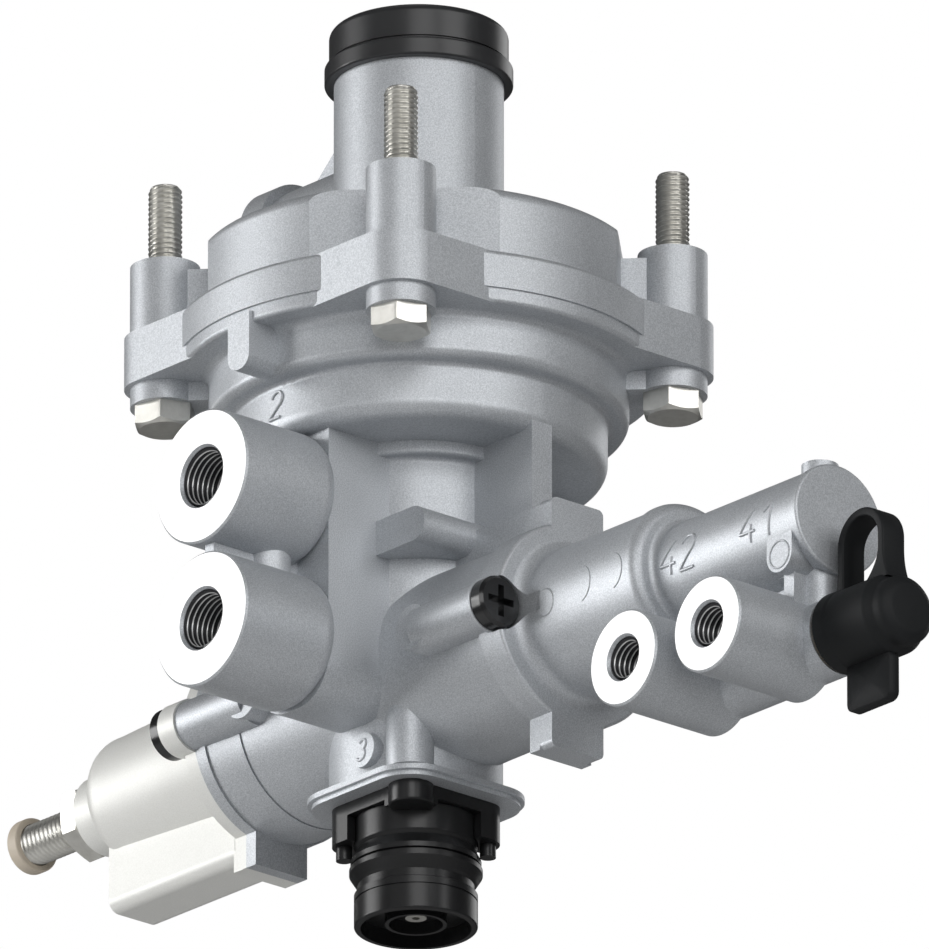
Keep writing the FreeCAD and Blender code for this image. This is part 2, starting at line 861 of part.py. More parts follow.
def load_cylinder_outside():
    barrel = turned(
        "barrel",
        [
            (0, d.barrel_left),
            (d.end_flange_r, d.barrel_left),
            (d.end_flange_r, d.barrel_left + d.end_flange),
            (d.barrel_r, d.barrel_left + d.end_flange),
            (d.barrel_r - 0.5, d.barrel_groove_x - d.barrel_groove),
            (d.barrel_r - 0.5 - d.barrel_groove, d.barrel_groove_x - d.barrel_groove),
            (d.barrel_r - 0.5 - d.barrel_groove, d.barrel_groove_x + d.barrel_groove),
            (d.barrel_r - 0.5, d.barrel_groove_x + d.barrel_groove),
            (d.barrel_r - 1, d.barrel_right - d.end_flange),
            (d.end_flange_r, d.barrel_right - d.end_flange),
            (d.end_flange_r, d.barrel_right),
            (0, d.barrel_right),
        ],
        "x", (0, 0, d.axis_z),
    )
    ridge = block(
        "ridge", (0, -d.ear_half, d.axis_z), (d.barrel_right, d.ear_half, d.axis_z + d.ridge_height)
    )
    pieces = [barrel, ridge]
    for side, end in (("left", d.barrel_left), ("right", d.barrel_right)):
        inward = d.end_flange if side == "left" else -d.end_flange
        low, high = (end, end + inward) if side == "left" else (end + inward, end)
        pieces.append(
            block(
                f"{side}_ear", (low, -d.ear_half, d.axis_z - d.ear_bottom),
                (high, d.ear_half, d.axis_z + d.ridge_height),
            )
        )
        sign = -1 if side == "left" else 1
        start = sign * d.screw_boss_start
        towards = "-x" if side == "left" else "+x"
        for along in signs:
            y = along * d.screw_offset
            face = "+y" if along > 0 else "-y"
            where = f"{side}_{'back' if along > 0 else 'front'}"
            pieces += [
                rod(
                    f"screw_boss_{where}", d.screw_boss_r, (end - start) * sign,
                    (start, y, d.axis_z), towards,
                ),
                rod(
                    f"screw_stub_{where}", d.screw_stub_r, d.screw_stub_reach - d.screw_stub_start,
                    (start, along * d.screw_stub_start, d.axis_z), face,
                ),
                block(
                    f"screw_root_{where}",
                    (start - 3, y - 4 if along > 0 else y, d.axis_z - 4),
                    (start + 3, y if along > 0 else y + 4, d.axis_z + 4),
                ),
            ]
    return pieces


def ports_outside():
    back = d.supply_block_reach
    bottom = d.axis_z - d.supply_block_bottom
    front_block = padded(
        "supply_block",
        [
            (-d.supply_block_half, d.bowl_z + 3),
            (-d.supply_block_half, bottom, d.supply_block_round),
            (d.supply_block_half, bottom, d.supply_block_round),
            (d.supply_block_half, d.bowl_z + 3),
        ],
        back, "XZ_Plane",
    )
    back_block = block(
        "inlet_block", (-d.supply_block_half, 0, d.axis_z), (d.supply_block_half, back, d.bowl_z + 3)
    )
    supply_bosses = [
        turned(
            f"supply_boss_{name}",
            [
                (0, d.supply_face_y),
                (d.supply_boss_r - d.face_bevel, d.supply_face_y),
                (d.supply_boss_r, d.supply_face_y + d.face_bevel),
                (d.supply_boss_r, -d.supply_boss_end, d.supply_boss_round),
                (0, -d.supply_boss_end),
            ],
            "y", (0, 0, z),
        )
        for name, z in (("upper", d.supply_upper_z), ("lower", d.supply_lower_z))
    ]
    inlet = port_boss("inlet", d.inlet_boss_r, d.inlet_face_y, 0, 0, d.inlet_z)
    web = block(
        "port_web", (-d.port_web / 2, d.supply_face_y + 2.5, d.supply_lower_z),
        (d.port_web / 2, -back + 1, d.supply_upper_z),
    )
    lug = padded(
        "pin_lug",
        [
            (d.supply_block_half - 1, d.pin_lug_z - d.pin_lug_r),
            (d.pin_lug_x + d.pin_lug_r, d.pin_lug_z - d.pin_lug_r, d.pin_lug_r * 0.98),
            (d.pin_lug_x + d.pin_lug_r, d.pin_lug_z + d.pin_lug_r, d.pin_lug_r * 0.98),
            (d.supply_block_half - 1, d.pin_lug_z + d.pin_lug_r),
        ],
        d.pin_lug_depth, "XZ_Plane", (0, d.pin_lug_front + d.pin_lug_depth, 0),
    )
    return [front_block, back_block, *supply_bosses, *inlet, web, lug]


def neck_outside():
    neck = rod("neck", d.neck_r, d.neck_top - d.foot_top, (d.neck_x, 0, d.foot_top))
    pieces = [neck]
    tiers = (
        ("foot", 0, d.foot_step_z, d.foot_top),
        ("foot_lower", d.foot_step, d.foot_z, d.foot_step_z),
    )
    for name, step, low, high in tiers:
        outline = rounded_square(d.foot_half - step, d.foot_corner_r - step)
        pieces.append(padded(name, outline, high - low, base=(d.neck_x, 0, low)))
    pieces.append(
        rod("number_pad", d.number_pad_r, -d.number_pad_y - 10,
            (d.number_pad_x, d.number_pad_y, d.number_pad_z), "+y")
    )
    post_top = d.neck_post_top - d.neck_post_r
    for name, sign in (("front", 1), ("back", -1)):
        x, y = d.neck_x + sign * d.neck_post_offset, -sign * d.neck_post_offset
        pieces += [
            rod(f"neck_post_{name}", d.neck_post_r, post_top - d.foot_top, (x, y, d.foot_top)),
            ball(f"neck_dome_{name}", d.neck_post_r, (x, y, post_top)),
        ]
    return pieces


def port_mouth(name, bore_r, centre, towards):
    """The bevel at the mouth of a threaded port."""
    return cone(name, bore_r + d.mouth_step, bore_r, d.mouth_depth, centre, towards)


def housing_inside():
    bores = turned(
        "bowl_bores",
        [
            (0, d.seam_z + 1),
            (bowl_bore_r, d.seam_z + 1),
            (bowl_bore_r, d.bowl_bore_z),
            (bowl_lower_bore_r, d.bowl_bore_z),
            (bowl_lower_bore_r, d.bowl_z + d.bowl_floor),
            (d.turret_bore_r, d.bowl_z + d.bowl_floor),
            (d.turret_bore_r, d.turret_floor_z),
            (d.tappet_r + d.running_fit, d.turret_floor_z),
            (d.tappet_r + d.running_fit, d.axis_z),
            (0, d.axis_z),
        ],
    )
    groove = turned(
        "bead_groove",
        [
            (diaphragm_r - d.diaphragm_bead - 0.1, d.seam_z - d.diaphragm_bead),
            (diaphragm_r + 0.1, d.seam_z - d.diaphragm_bead),
            (diaphragm_r + 0.1, d.seam_z + 1),
            (diaphragm_r - d.diaphragm_bead - 0.1, d.seam_z + 1),
        ],
    )
    barrel_length = d.barrel_right - d.barrel_left
    load_bore = rod("load_bore", d.load_bore_r, barrel_length, (d.barrel_left, 0, d.axis_z), "+x")
    pieces = [bores, groove, load_bore]
    for name, z in (("upper", d.supply_upper_z), ("lower", d.supply_lower_z)):
        pieces += [
            rod(f"supply_bore_{name}", d.supply_bore_r, d.supply_bore_depth,
                (0, d.supply_face_y, z), "+y"),
            port_mouth(f"supply_mouth_{name}", d.supply_bore_r, (0, d.supply_face_y, z), "+y"),
        ]
    channel_y = d.supply_face_y + d.supply_bore_depth + d.passage_r
    pieces += [
        rod("supply_passage", d.passage_r, -d.supply_face_y - 8,
            (0, d.supply_face_y, d.supply_upper_z), "+y"),
        rod("supply_link", d.passage_r - 0.7, d.supply_upper_z - d.supply_lower_z,
            (0, channel_y, d.supply_lower_z)),
        rod("supply_dead_end", d.passage_r, d.supply_bore_depth + d.passage_r,
            (0, d.supply_face_y, d.supply_lower_z), "+y"),
        rod("inlet_bore", d.inlet_bore_r, d.inlet_bore_depth, (0, d.inlet_face_y, d.inlet_z), "-y"),
        port_mouth("inlet_mouth", d.inlet_bore_r, (0, d.inlet_face_y, d.inlet_z), "-y"),
        rod("inlet_passage", d.passage_r, d.inlet_face_y - 8, (0, d.inlet_face_y, d.inlet_z), "-y"),
        rod("neck_bore", d.neck_bore_r, d.neck_bore_depth, (d.neck_x, 0, d.foot_z)),
    ]
    for index, along in enumerate(signs):
        pieces.append(
            rod(
                f"exhaust_channel_{index}", d.exhaust_channel_r,
                d.turret_floor_z + 1 - d.foot_z - d.neck_bore_depth + 1,
                (0, along * (d.exhaust_channel_y - 2), d.foot_z + d.neck_bore_depth - 1),
            )
        )
    pieces += square_lugs("housing_hole", d.stud_hole_r, d.seam_z + 1, d.seam_z - d.bolt_seat_z + 2)
    for side, end, towards in (("left", d.barrel_left, "+x"), ("right", d.barrel_right, "-x")):
        for along in signs:
            pieces.append(
                rod(
                    f"screw_bore_{side}_{'back' if along > 0 else 'front'}", d.screw_hole_r,
                    d.screw_length, (end, along * d.screw_offset, d.axis_z), towards,
                )
            )
    return pieces


def make_main_housing():
    outside = fuse(
        "housing_solid",
        housing_outside() + load_cylinder_outside() + ports_outside() + neck_outside(),
    )
    keep("main_housing", cut("main_housing_cut", outside, housing_inside()))


def cross_screw(name, x, y, towards):
    """A cheese-head screw with a cross recess. Its head seats at x."""
    sign = 1 if towards == "+x" else -1
    back = "-x" if towards == "+x" else "+x"
    z = d.axis_z
    rounded = d.screw_head_r * 0.12
    head = rod(name + "_head", d.screw_head_r, d.screw_head_height - rounded, (x, y, z), towards)
    crown = cone(
        name + "_crown", d.screw_head_r, d.screw_head_r - rounded, rounded,
        (x + sign * (d.screw_head_height - rounded), y, z), towards,
    )
    shank = rod(name + "_shank", d.screw_shank_r, d.screw_length - 1, (x, y, z), back)
    reach, slit = d.screw_head_r * 0.62, d.screw_head_r * 0.14
    top = x + sign * d.screw_head_height
    low_x, high_x = (top - 2.2, top + 1) if sign > 0 else (top - 1, top + 2.2)
    slots = [
        block(name + "_slot_one", (low_x, y - reach, z - slit), (high_x, y + reach, z + slit)),
        block(name + "_slot_two", (low_x, y - slit, z - reach), (high_x, y + slit, z + reach)),
    ]
    return cut(name, fuse(name + "_solid", [head, crown, shank]), slots)


def make_end_screws():
    right = d.barrel_right + d.screw_seat
    left = d.barrel_left - d.left_flange
    for node, x, towards in (
        ("bellows_head_screws", right, "+x"),
        ("spring_housing_screws", left, "-x"),
    ):
        screws = [
            cross_screw(f"{node}_{index}", x, along * d.screw_offset, towards)
            for index, along in enumerate(signs)
        ]
        keep(node, group(node + "_group", screws))


def joint_groove(name, face_x, sign):
    """A ring groove in an end joint's face; sign tells which way it goes in."""
    start, end = (face_x - 1, face_x + d.seal_depth) if sign > 0 else (face_x - d.seal_depth, face_x + 1)
    return turned(
        name,
        [
            (d.seal_r - d.seal_half, start),
            (d.seal_r + d.seal_half, start),
            (d.seal_r + d.seal_half, end),
            (d.seal_r - d.seal_half, end),
        ],
        "x", (0, 0, d.axis_z),
    )


def joint_seal(node, face_x, sign):
    middle = face_x + sign * d.seal_depth / 2
    section_r = d.seal_depth / 2 - d.seal_play
    keep(node, ring(node + "_ring", d.seal_r, section_r, (middle, 0, d.axis_z), "+x"))


# Bellows head: stepped cylinder with two bellows ports and the bar to the test connection
def make_bellows_head():
    z = d.axis_z
    flange_x = d.barrel_right + d.head_flange
    stepped = turned(
        "head_cylinder",
        [
            (0, d.barrel_right),
            (d.end_flange_r, d.barrel_right),
            (d.end_flange_r, flange_x, 0.8),
            (d.head_one_r, flange_x, 3.0),
            (d.head_one_r, d.head_collar_start),
            (d.head_collar_r, d.head_collar_start),
            (d.head_collar_r, d.head_one_end, 2.6),
            (d.head_two_r, d.head_one_end, 1.5),
            (d.head_two_r, d.head_bead_start),
            (d.head_bead_r, d.head_bead_start),
            (d.head_bead_r, d.head_two_end, 0.6),
            (0, d.head_two_end),
        ],
        "x", (0, 0, z),
    )
    ear = padded(
        "head_ear",
        [
            (-d.ear_half, z - d.ear_bottom, 1.5),
            (d.ear_half, z - d.ear_bottom, 1.5),
            (d.ear_half, z + d.ear_top, 1.5),
            (-d.ear_half, z + d.ear_top, 1.5),
        ],
        d.head_flange, "YZ_Plane", (d.barrel_right, 0, 0),
    )
    pieces = [stepped, ear]
    for index, along in enumerate(signs):
        pieces.append(
            rod(f"head_screw_lug_{index}", d.screw_head_r + 0.3, d.screw_seat,
                (d.barrel_right, along * d.screw_offset, z), "+x")
        )
    for name, x in (("a", d.bellows_port_a_x), ("b", d.bellows_port_b_x)):
        pieces += port_boss(
            f"bellows_boss_{name}", d.bellows_boss_r, d.bellows_face_y, d.bellows_back_y,
            x, d.bellows_port_z,
        )
    pieces += [
        rod("test_bar", d.test_bar_r, d.head_two_end - d.bellows_port_a_x,
            (d.bellows_port_a_x, 0, d.bellows_port_z), "+x"),
        block("head_web",
              (d.bellows_port_a_x - d.bellows_boss_r + 2, -d.head_web / 2, d.bellows_port_z),
              (d.vent_stub_x + d.vent_stub_r / 2, d.head_web / 2, z)),
        rod("vent_stub_top", d.vent_stub_r, d.vent_stub_height, (d.vent_stub_x, 0, z)),
        rod("vent_stub_bottom", d.vent_stub_r + 0.8, z - d.bellows_port_z,
            (d.vent_stub_x, 0, d.bellows_port_z)),
        rod("head_pad", d.head_pad_r, -d.head_pad_front,
            (d.head_pad_x, d.head_pad_front, d.head_pad_z), "+y"),
        block("head_pad_top",
              (d.head_pad_x - d.head_pad_r, d.head_pad_front, d.head_pad_z),
              (d.head_pad_x + d.head_pad_r, 0, z)),
        block("head_rib",
              (d.head_pad_x - d.head_web / 2, d.head_rib_front, d.head_rib_bottom),
              (d.head_pad_x + d.head_web / 2, 0, d.head_pad_z)),
    ]
    outside = fuse_in_turn("head_solid", pieces)
    step_x = d.head_one_end - d.head_wall
    bores = turned(
        "head_bores",
        [
            (0, d.barrel_right - 1),
            (d.head_bore_one_r, d.barrel_right - 1),
            (d.head_bore_one_r, step_x),
            (d.head_bore_two_r, step_x),
            (d.head_bore_two_r, d.head_two_end - d.head_wall),
            (0, d.head_two_end - d.head_wall),
        ],
        "x", (0, 0, z),
    )
    tools = [bores, joint_groove("head_groove", d.barrel_right, 1)]
    for name, x, offset in (("a", d.bellows_port_a_x, -3.1), ("b", d.bellows_port_b_x, 0)):
        tools += [
            rod(f"bellows_bore_{name}", d.bellows_bore_r, d.bellows_bore_depth,
                (x, d.bellows_face_y, d.bellows_port_z), "+y"),
            port_mouth(f"bellows_mouth_{name}", d.bellows_bore_r,
                       (x, d.bellows_face_y, d.bellows_port_z), "+y"),
            rod(f"bellows_passage_{name}", d.bellows_bore_r - 1.2, -d.bellows_face_y - 2,
                (x, d.bellows_face_y, d.bellows_port_z), "+y"),
            rod(f"bellows_riser_{name}", 2.4, z - d.bellows_port_z,
                (x + offset, -3, d.bellows_port_z)),
        ]
    for index, along in enumerate(signs):
        y = along * d.screw_offset
        tools += [
            rod(f"head_screw_hole_{index}", d.screw_hole_r, d.head_flange + 2,
                (d.barrel_right - 1, y, z), "+x"),
            rod(f"head_spot_face_{index}", d.screw_head_r + 0.5, d.head_flange + 6,
                (d.barrel_right + d.screw_seat, y, z), "+x"),
        ]
    seat = d.head_two_end - d.fitting_length
    tools.append(
        rod("fitting_socket", d.fitting_r * 0.8, d.fitting_length + 1, (seat, 0, d.bellows_port_z), "+x")
    )
    keep("bellows_head", cut("bellows_head_cut", outside, tools))
    joint_seal("bellows_head_seal", d.barrel_right, 1)


# Test connection: a screwed-in fitting with a sprung pin, under a rubber cap
def make_test_connection():
    z = d.bellows_port_z
    root_x = d.head_two_end - d.fitting_length
    tip = d.dust_cap_end - d.dust_cap_wall - 0.6
    stem_r = d.fitting_r * 0.8 - d.cap_fit
    spring_start = root_x + 2
    pin_head = tip - 8
    keep(
        "test_fitting",
        turned(
            "test_fitting_body",
            [
                (d.fitting_bore_r, root_x),
                (stem_r, root_x),
                (stem_r, d.head_two_end),
                (d.fitting_r - 0.3, d.head_two_end),
                (d.fitting_r - 0.3, d.head_two_end + 1),
                (d.fitting_r, d.head_two_end + 1),
                (d.fitting_r, tip - 1),
                (d.fitting_r - 1, tip),
                (d.fitting_mouth_r, tip),
                (d.fitting_mouth_r, pin_head + 2.3),
                (d.fitting_bore_r, pin_head + 2.3),
            ],
            "x", (0, 0, z),
        ),
    )
    keep(
        "test_valve_pin",
        turned(
            "test_valve_pin_body",
            [
                (0, spring_start + 8),
                (1.4, spring_start + 8),
                (1.4, pin_head),
                (d.fitting_bore_r - d.seat_gap, pin_head),
                (d.fitting_bore_r - d.seat_gap, pin_head + 2),
                (d.test_pin_r, pin_head + 2),
                (d.test_pin_r, tip - 1.5, 0.5),
                (0, tip - 1.5),
            ],
            "x", (0, 0, z),
        ),
    )
    keep(
        "test_valve_spring",
        spring("test_valve_coil", 2.9, 0.45, spring_start, pin_head - spring_start, 7, "+x", z),
    )
    bore_end = tip + 0.5
    cap = turned(
        "dust_cap_body",
        [
            (d.fitting_r + d.seat_gap, d.dust_cap_start),
            (d.dust_cap_rim_r, d.dust_cap_start, 0.6),
            (d.dust_cap_rim_r, d.dust_cap_start + 3),
            (d.dust_cap_r, d.dust_cap_start + 3.5),
            (d.dust_cap_r, d.dust_cap_end - 3),
            (d.dust_cap_r - 0.6, d.dust_cap_end - 1.4),
            (d.dust_cap_face_r, d.dust_cap_end),
            (0, d.dust_cap_end),
            (0, bore_end),
            (d.fitting_r + d.seat_gap, bore_end),
        ],
        "x", (0, 0, z),
    )
    arch_r = (d.strap_end - d.strap_start) / 2
    arch_z = d.strap_top - arch_r
    middle = (d.strap_start + d.strap_end) / 2
    inner_r = arch_r - d.strap_thickness
    width = d.strap_half * 2
    leg_foot = z + d.dust_cap_r - 2
    arch = cut(
        "strap",
        fuse(
            "strap_solid",
            [
                rod("strap_round", arch_r, width, (middle, -d.strap_half, arch_z), "+y"),
                block("strap_legs", (d.strap_start, -d.strap_half, leg_foot),
                      (d.strap_end, d.strap_half, arch_z)),
            ],
        ),
        [
            rod("strap_round_hole", inner_r, width + 2, (middle, -d.strap_half - 1, arch_z), "+y"),
            block("strap_gap",
                  (middle - inner_r, -d.strap_half - 1, z + d.dust_cap_r + 1),
                  (middle + inner_r, d.strap_half + 1, arch_z)),
            rod("strap_clearance", d.fitting_r + 0.8, 40, (d.dust_cap_start - 1, 0, z), "+x"),
        ],
    )
    tab = padded(
        "tab",
        [
            (d.strap_start + 0.4, z - d.dust_cap_r + 0.5),
            (d.strap_start + 0.4, d.tab_bottom, 1.5),
            (d.strap_end + 0.2, d.tab_bottom, 1.5),
            (d.strap_end + 0.2, z - d.dust_cap_r + 0.5),
        ],
        d.tab_half * 2, "XZ_Plane", (0, d.tab_half, 0),
    )
    keep("dust_cap", fuse("dust_cap_solid", [cap, arch, tab]))


# Spring housing with its box, and the adjuster
def make_spring_housing():
    z = d.axis_z
    flange_x = d.barrel_left - d.left_flange
    shell = turned(
        "left_cylinder",
        [
            (0, d.barrel_left),
            (d.end_flange_r, d.barrel_left),
            (d.end_flange_r, flange_x + 2),
            (d.end_flange_r - 0.8, flange_x + 1.2),
            (d.left_root_r + 2, flange_x + 1.2),
            (d.left_root_r, flange_x - 1.5),
            (d.left_tip_r, d.left_end + d.left_shoulder_r + 2),
            (d.left_tip_r, d.left_end, d.left_shoulder_r),
            (d.nut_seat_r, d.left_end),
            (d.nut_seat_r, d.nut_seat_end),
            (0, d.nut_seat_end),
        ],
        "x", (0, 0, z),
    )
    box = padded(
        "left_box",
        [
            (-d.box_half, d.box_bottom, d.box_edge_r),
            (d.box_half, d.box_bottom, d.box_edge_r),
            (d.box_half, z),
            (-d.box_half, z),
        ],
        d.box_end - d.box_start, "YZ_Plane", (d.box_start, 0, 0),
    )
    ear = block(
        "left_cover_ear", (flange_x + 1.2, -d.ear_half, z - d.ear_bottom),
        (d.barrel_left, d.ear_half, z + d.ear_top),
    )
    lugs = [
        rod(f"left_screw_lug_{index}", d.screw_head_r + 0.3, d.left_flange,
            (d.barrel_left, along * d.screw_offset, z), "-x")
        for index, along in enumerate(signs)
    ]
    outside = fuse("left_solid", [shell, box, ear, *lugs])
    end = d.left_end + d.left_wall
    bores = turned(
        "left_bores",
        [
            (0, d.barrel_left + 1),
            (d.load_bore_r, d.barrel_left + 1),
            (d.load_bore_r, d.barrel_left - d.left_entry_depth),
            (d.left_bore_r, d.barrel_left - d.left_entry_depth - 2),
            (d.left_bore_r, end),
            (d.spindle_r + 0.05, end),
            (d.spindle_r + 0.05, d.nut_seat_end - 1),
            (0, d.nut_seat_end - 1),
        ],
        "x", (0, 0, z),
    )
    holes = [
        rod(f"left_screw_hole_{index}", d.screw_hole_r, d.left_flange + 2,
            (d.barrel_left + 1, along * d.screw_offset, z), "-x")
        for index, along in enumerate(signs)
    ]
    holes += [
        rod(f"left_spot_face_{index}", d.screw_head_r + 0.5, d.screw_head_height + 8,
            (flange_x, along * d.screw_offset, z), "-x")
        for index, along in enumerate(signs)
    ]
    groove = joint_groove("left_groove", d.barrel_left, -1)
    keep("spring_housing", cut("spring_housing_cut", outside, [bores, groove, *holes]))
    joint_seal("spring_housing_seal", d.barrel_left, -1)


def make_adjuster():
    z = d.axis_z
    nut = common(
        "lock_nut_hexagon",
        [
            prism("lock_nut_prism", d.nut_flats, d.nut_height, (d.nut_seat_end, 0, z), "-x"),
            turned(
                "lock_nut_bevel",
                [
                    (0, d.nut_seat_end),
                    (d.nut_flats * 0.5, d.nut_seat_end),
                    (d.nut_flats * 0.6, d.nut_seat_end - 1),
                    (d.nut_flats * 0.6, d.nut_seat_end - d.nut_height + 1),
                    (d.nut_flats * 0.5, d.nut_seat_end - d.nut_height),
                    (0, d.nut_seat_end - d.nut_height),
                ],
                "x", (0, 0, z),
            ),
        ],
    )
    hole = rod("lock_nut_bore", d.spindle_r + 0.05, d.nut_height + 2, (d.nut_seat_end + 1, 0, z), "-x")
    keep("lock_nut", cut("lock_nut_cut", nut, [hole]))
    seat_back = d.seat_x - d.seat_thickness
    collar_back = d.left_end + d.left_wall + d.seat_gap
    collar_front = collar_back + d.collar_thickness
    keep(
        "adjusting_screw",
        turned(
            "adjusting_screw_body",
            [
                (0, d.spindle_inner_end),
                (d.spindle_r - 1, d.spindle_inner_end),
                (d.spindle_r, d.spindle_inner_end - 1),
                (d.spindle_r, collar_front),
                (d.collar_r, collar_front),
                (d.collar_r, collar_back),
                (d.spindle_r, collar_back),
                (d.spindle_r, d.spindle_end),
                (0, d.spindle_end),
            ],
            "x", (0, 0, z),
        ),
    )
    keep(
        "screw_end_cap",
        turned(
            "screw_end_cap_body",
            [
                (d.spindle_r + d.cap_fit, d.end_cap_start),
                (d.end_cap_r, d.end_cap_start, 0.5),
                (d.end_cap_r, d.end_cap_end, 1.0),
                (0, d.end_cap_end),
                (0, d.spindle_end),
                (d.spindle_r + d.cap_fit, d.spindle_end),
            ],
            "x", (0, 0, z),
        ),
    )
    seat_bore_r = d.spindle_r + d.running_fit
    keep(
        "spring_seat",
        turned(
            "spring_seat_body",
            [
                (seat_bore_r, seat_back),
                (d.left_bore_r - d.seat_gap, seat_back),
                (d.left_bore_r - d.seat_gap, d.seat_x),
                (d.left_bore_r - 5.4, d.seat_x),
                (d.left_bore_r - 5.4, d.seat_x + d.seat_nose, 1.0),
                (seat_bore_r, d.seat_x + d.seat_nose),
            ],
            "x", (0, 0, z),
        ),
    )
    keep(
        "load_spring",
        spring("load_coil", d.left_bore_r - 3.6, d.load_spring_wire_r, d.seat_x,
               d.cam_left - d.seat_x, 7, "+x", z),
    )


# Control piston, diaphragm and pilot spring in the cover
def make_control_parts():
    top = d.control_piston_z + d.control_piston_height
    piston_r = d.column_bore_r - d.running_fit
    ring_r = d.ring_section / 2
    ring_z = d.control_piston_z + d.control_piston_height / 2
    body = turned(
        "control_piston_body",
        [
            (0, top - 2),
            (piston_r - 2, top - 2),
            (piston_r - 2, top),
            (piston_r, top),
            (piston_r, d.control_piston_z),
            (d.control_stem_r, d.control_piston_z),
            (d.control_stem_r, d.fan_z + d.fan_height, 2.0),
            (d.fan_r, d.fan_z + d.fan_height, 1.0),
            (d.fan_r, d.fan_z),
            (d.fan_r - 4, d.fan_z),
            (0, d.fan_z),
        ],
    )
    ribs = [
        block(f"fan_rib_{name}", low, high)
        for name, low, high in (
            ("along", (-d.fan_r + 3, -1.2, d.fan_z), (d.fan_r - 3, 1.2, d.fan_z + 8)),
            ("across", (-1.2, -d.fan_r + 3, d.fan_z), (1.2, d.fan_r - 3, d.fan_z + 8)),
        )
    ]
    groove = cut(
        "control_groove",
        rod("control_groove_outer", d.column_bore_r, d.ring_section, (0, 0, ring_z - ring_r)),
        [rod("control_groove_inner", piston_r - d.ring_section, d.ring_section + 2,
             (0, 0, ring_z - ring_r - 1))],
    )
    solid = fuse("control_piston_solid", [body, *ribs])
    keep("control_piston", cut("control_piston_cut", solid, [groove]))
    keep(
        "control_piston_ring",
        ring("control_ring", piston_r - ring_r, ring_r - 0.05, (0, 0, ring_z)),
    )
    keep(
        "pilot_spring",
        spring("pilot_coil", 10.0, d.spring_wire_r, top - 2,
               d.column_top - d.column_roof - top + 2, 5),
    )
    inner = diaphragm_r - d.diaphragm_bead
    keep(
        "cover_diaphragm",
        turned(
            "cover_diaphragm_body",
            [
                (d.diaphragm_hole_r, d.seam_z),
                (inner, d.seam_z),
                (inner, d.seam_z - d.diaphragm_bead + 0.1),
                (diaphragm_r, d.seam_z - d.diaphragm_bead + 0.1),
                (diaphragm_r, d.seam_z + d.diaphragm_thickness),
                (d.diaphragm_hole_r, d.seam_z + d.diaphragm_thickness),
            ],
        ),
    )


# Relay piston and the combined inlet and exhaust valve
def make_relay_parts():
    bottom = d.relay_top_z - d.relay_height
    piston_r = bowl_bore_r - d.running_fit
    ring_r = d.ring_section / 2
    ring_z = d.relay_top_z - d.relay_height / 2
    body = turned(
        "relay_piston_body",
        [
            (d.relay_hub_bore_r, d.relay_top_z),
            (piston_r, d.relay_top_z),
            (piston_r, ring_z + ring_r),
            (piston_r - d.ring_section, ring_z + ring_r),
            (piston_r - d.ring_section, ring_z - ring_r),
            (piston_r, ring_z - ring_r),
            (piston_r, bottom),
            (d.relay_hub_r, bottom, 2.0),
            (d.relay_hub_r, d.relay_hub_z),
            (d.relay_hub_bore_r, d.relay_hub_z),
        ],
    )
    keep("relay_piston", body)
    keep(
        "relay_piston_ring",
        ring("relay_ring", piston_r - ring_r, ring_r - 0.05, (0, 0, ring_z)),
    )
    disc_top = d.relay_hub_z - d.valve_lift
    disc_bottom = disc_top - d.valve_disc_height
    keep(
        "valve_tube",
        turned(
            "valve_tube_body",
            [
                (d.valve_tube_bore_r, disc_top),
                (d.valve_disc_r, disc_top, 0.4),
                (d.valve_disc_r, disc_bottom, 0.4),
                (d.valve_tube_r, disc_bottom),
                (d.valve_tube_r, d.valve_tube_z),
                (d.valve_tube_bore_r, d.valve_tube_z),
            ],
        ),
    )
    keep(
        "valve_spring",
        spring("valve_coil", 9.5, d.spring_wire_r, d.valve_guide_top,
               disc_bottom - d.valve_guide_top, 3),
    )
    keep(
        "valve_guide",
        turned(
            "valve_guide_body",
            [
                (d.valve_tube_r + d.running_fit, d.valve_guide_z),
                (d.turret_bore_r - d.cap_fit, d.valve_guide_z),
                (d.turret_bore_r - d.cap_fit, d.valve_guide_z + 3),
                (d.valve_tube_r + 2, d.valve_guide_z + 3),
                (d.valve_tube_r + 2, d.valve_guide_top),
                (d.valve_tube_r + d.running_fit, d.valve_guide_top),
            ],
        ),
    )


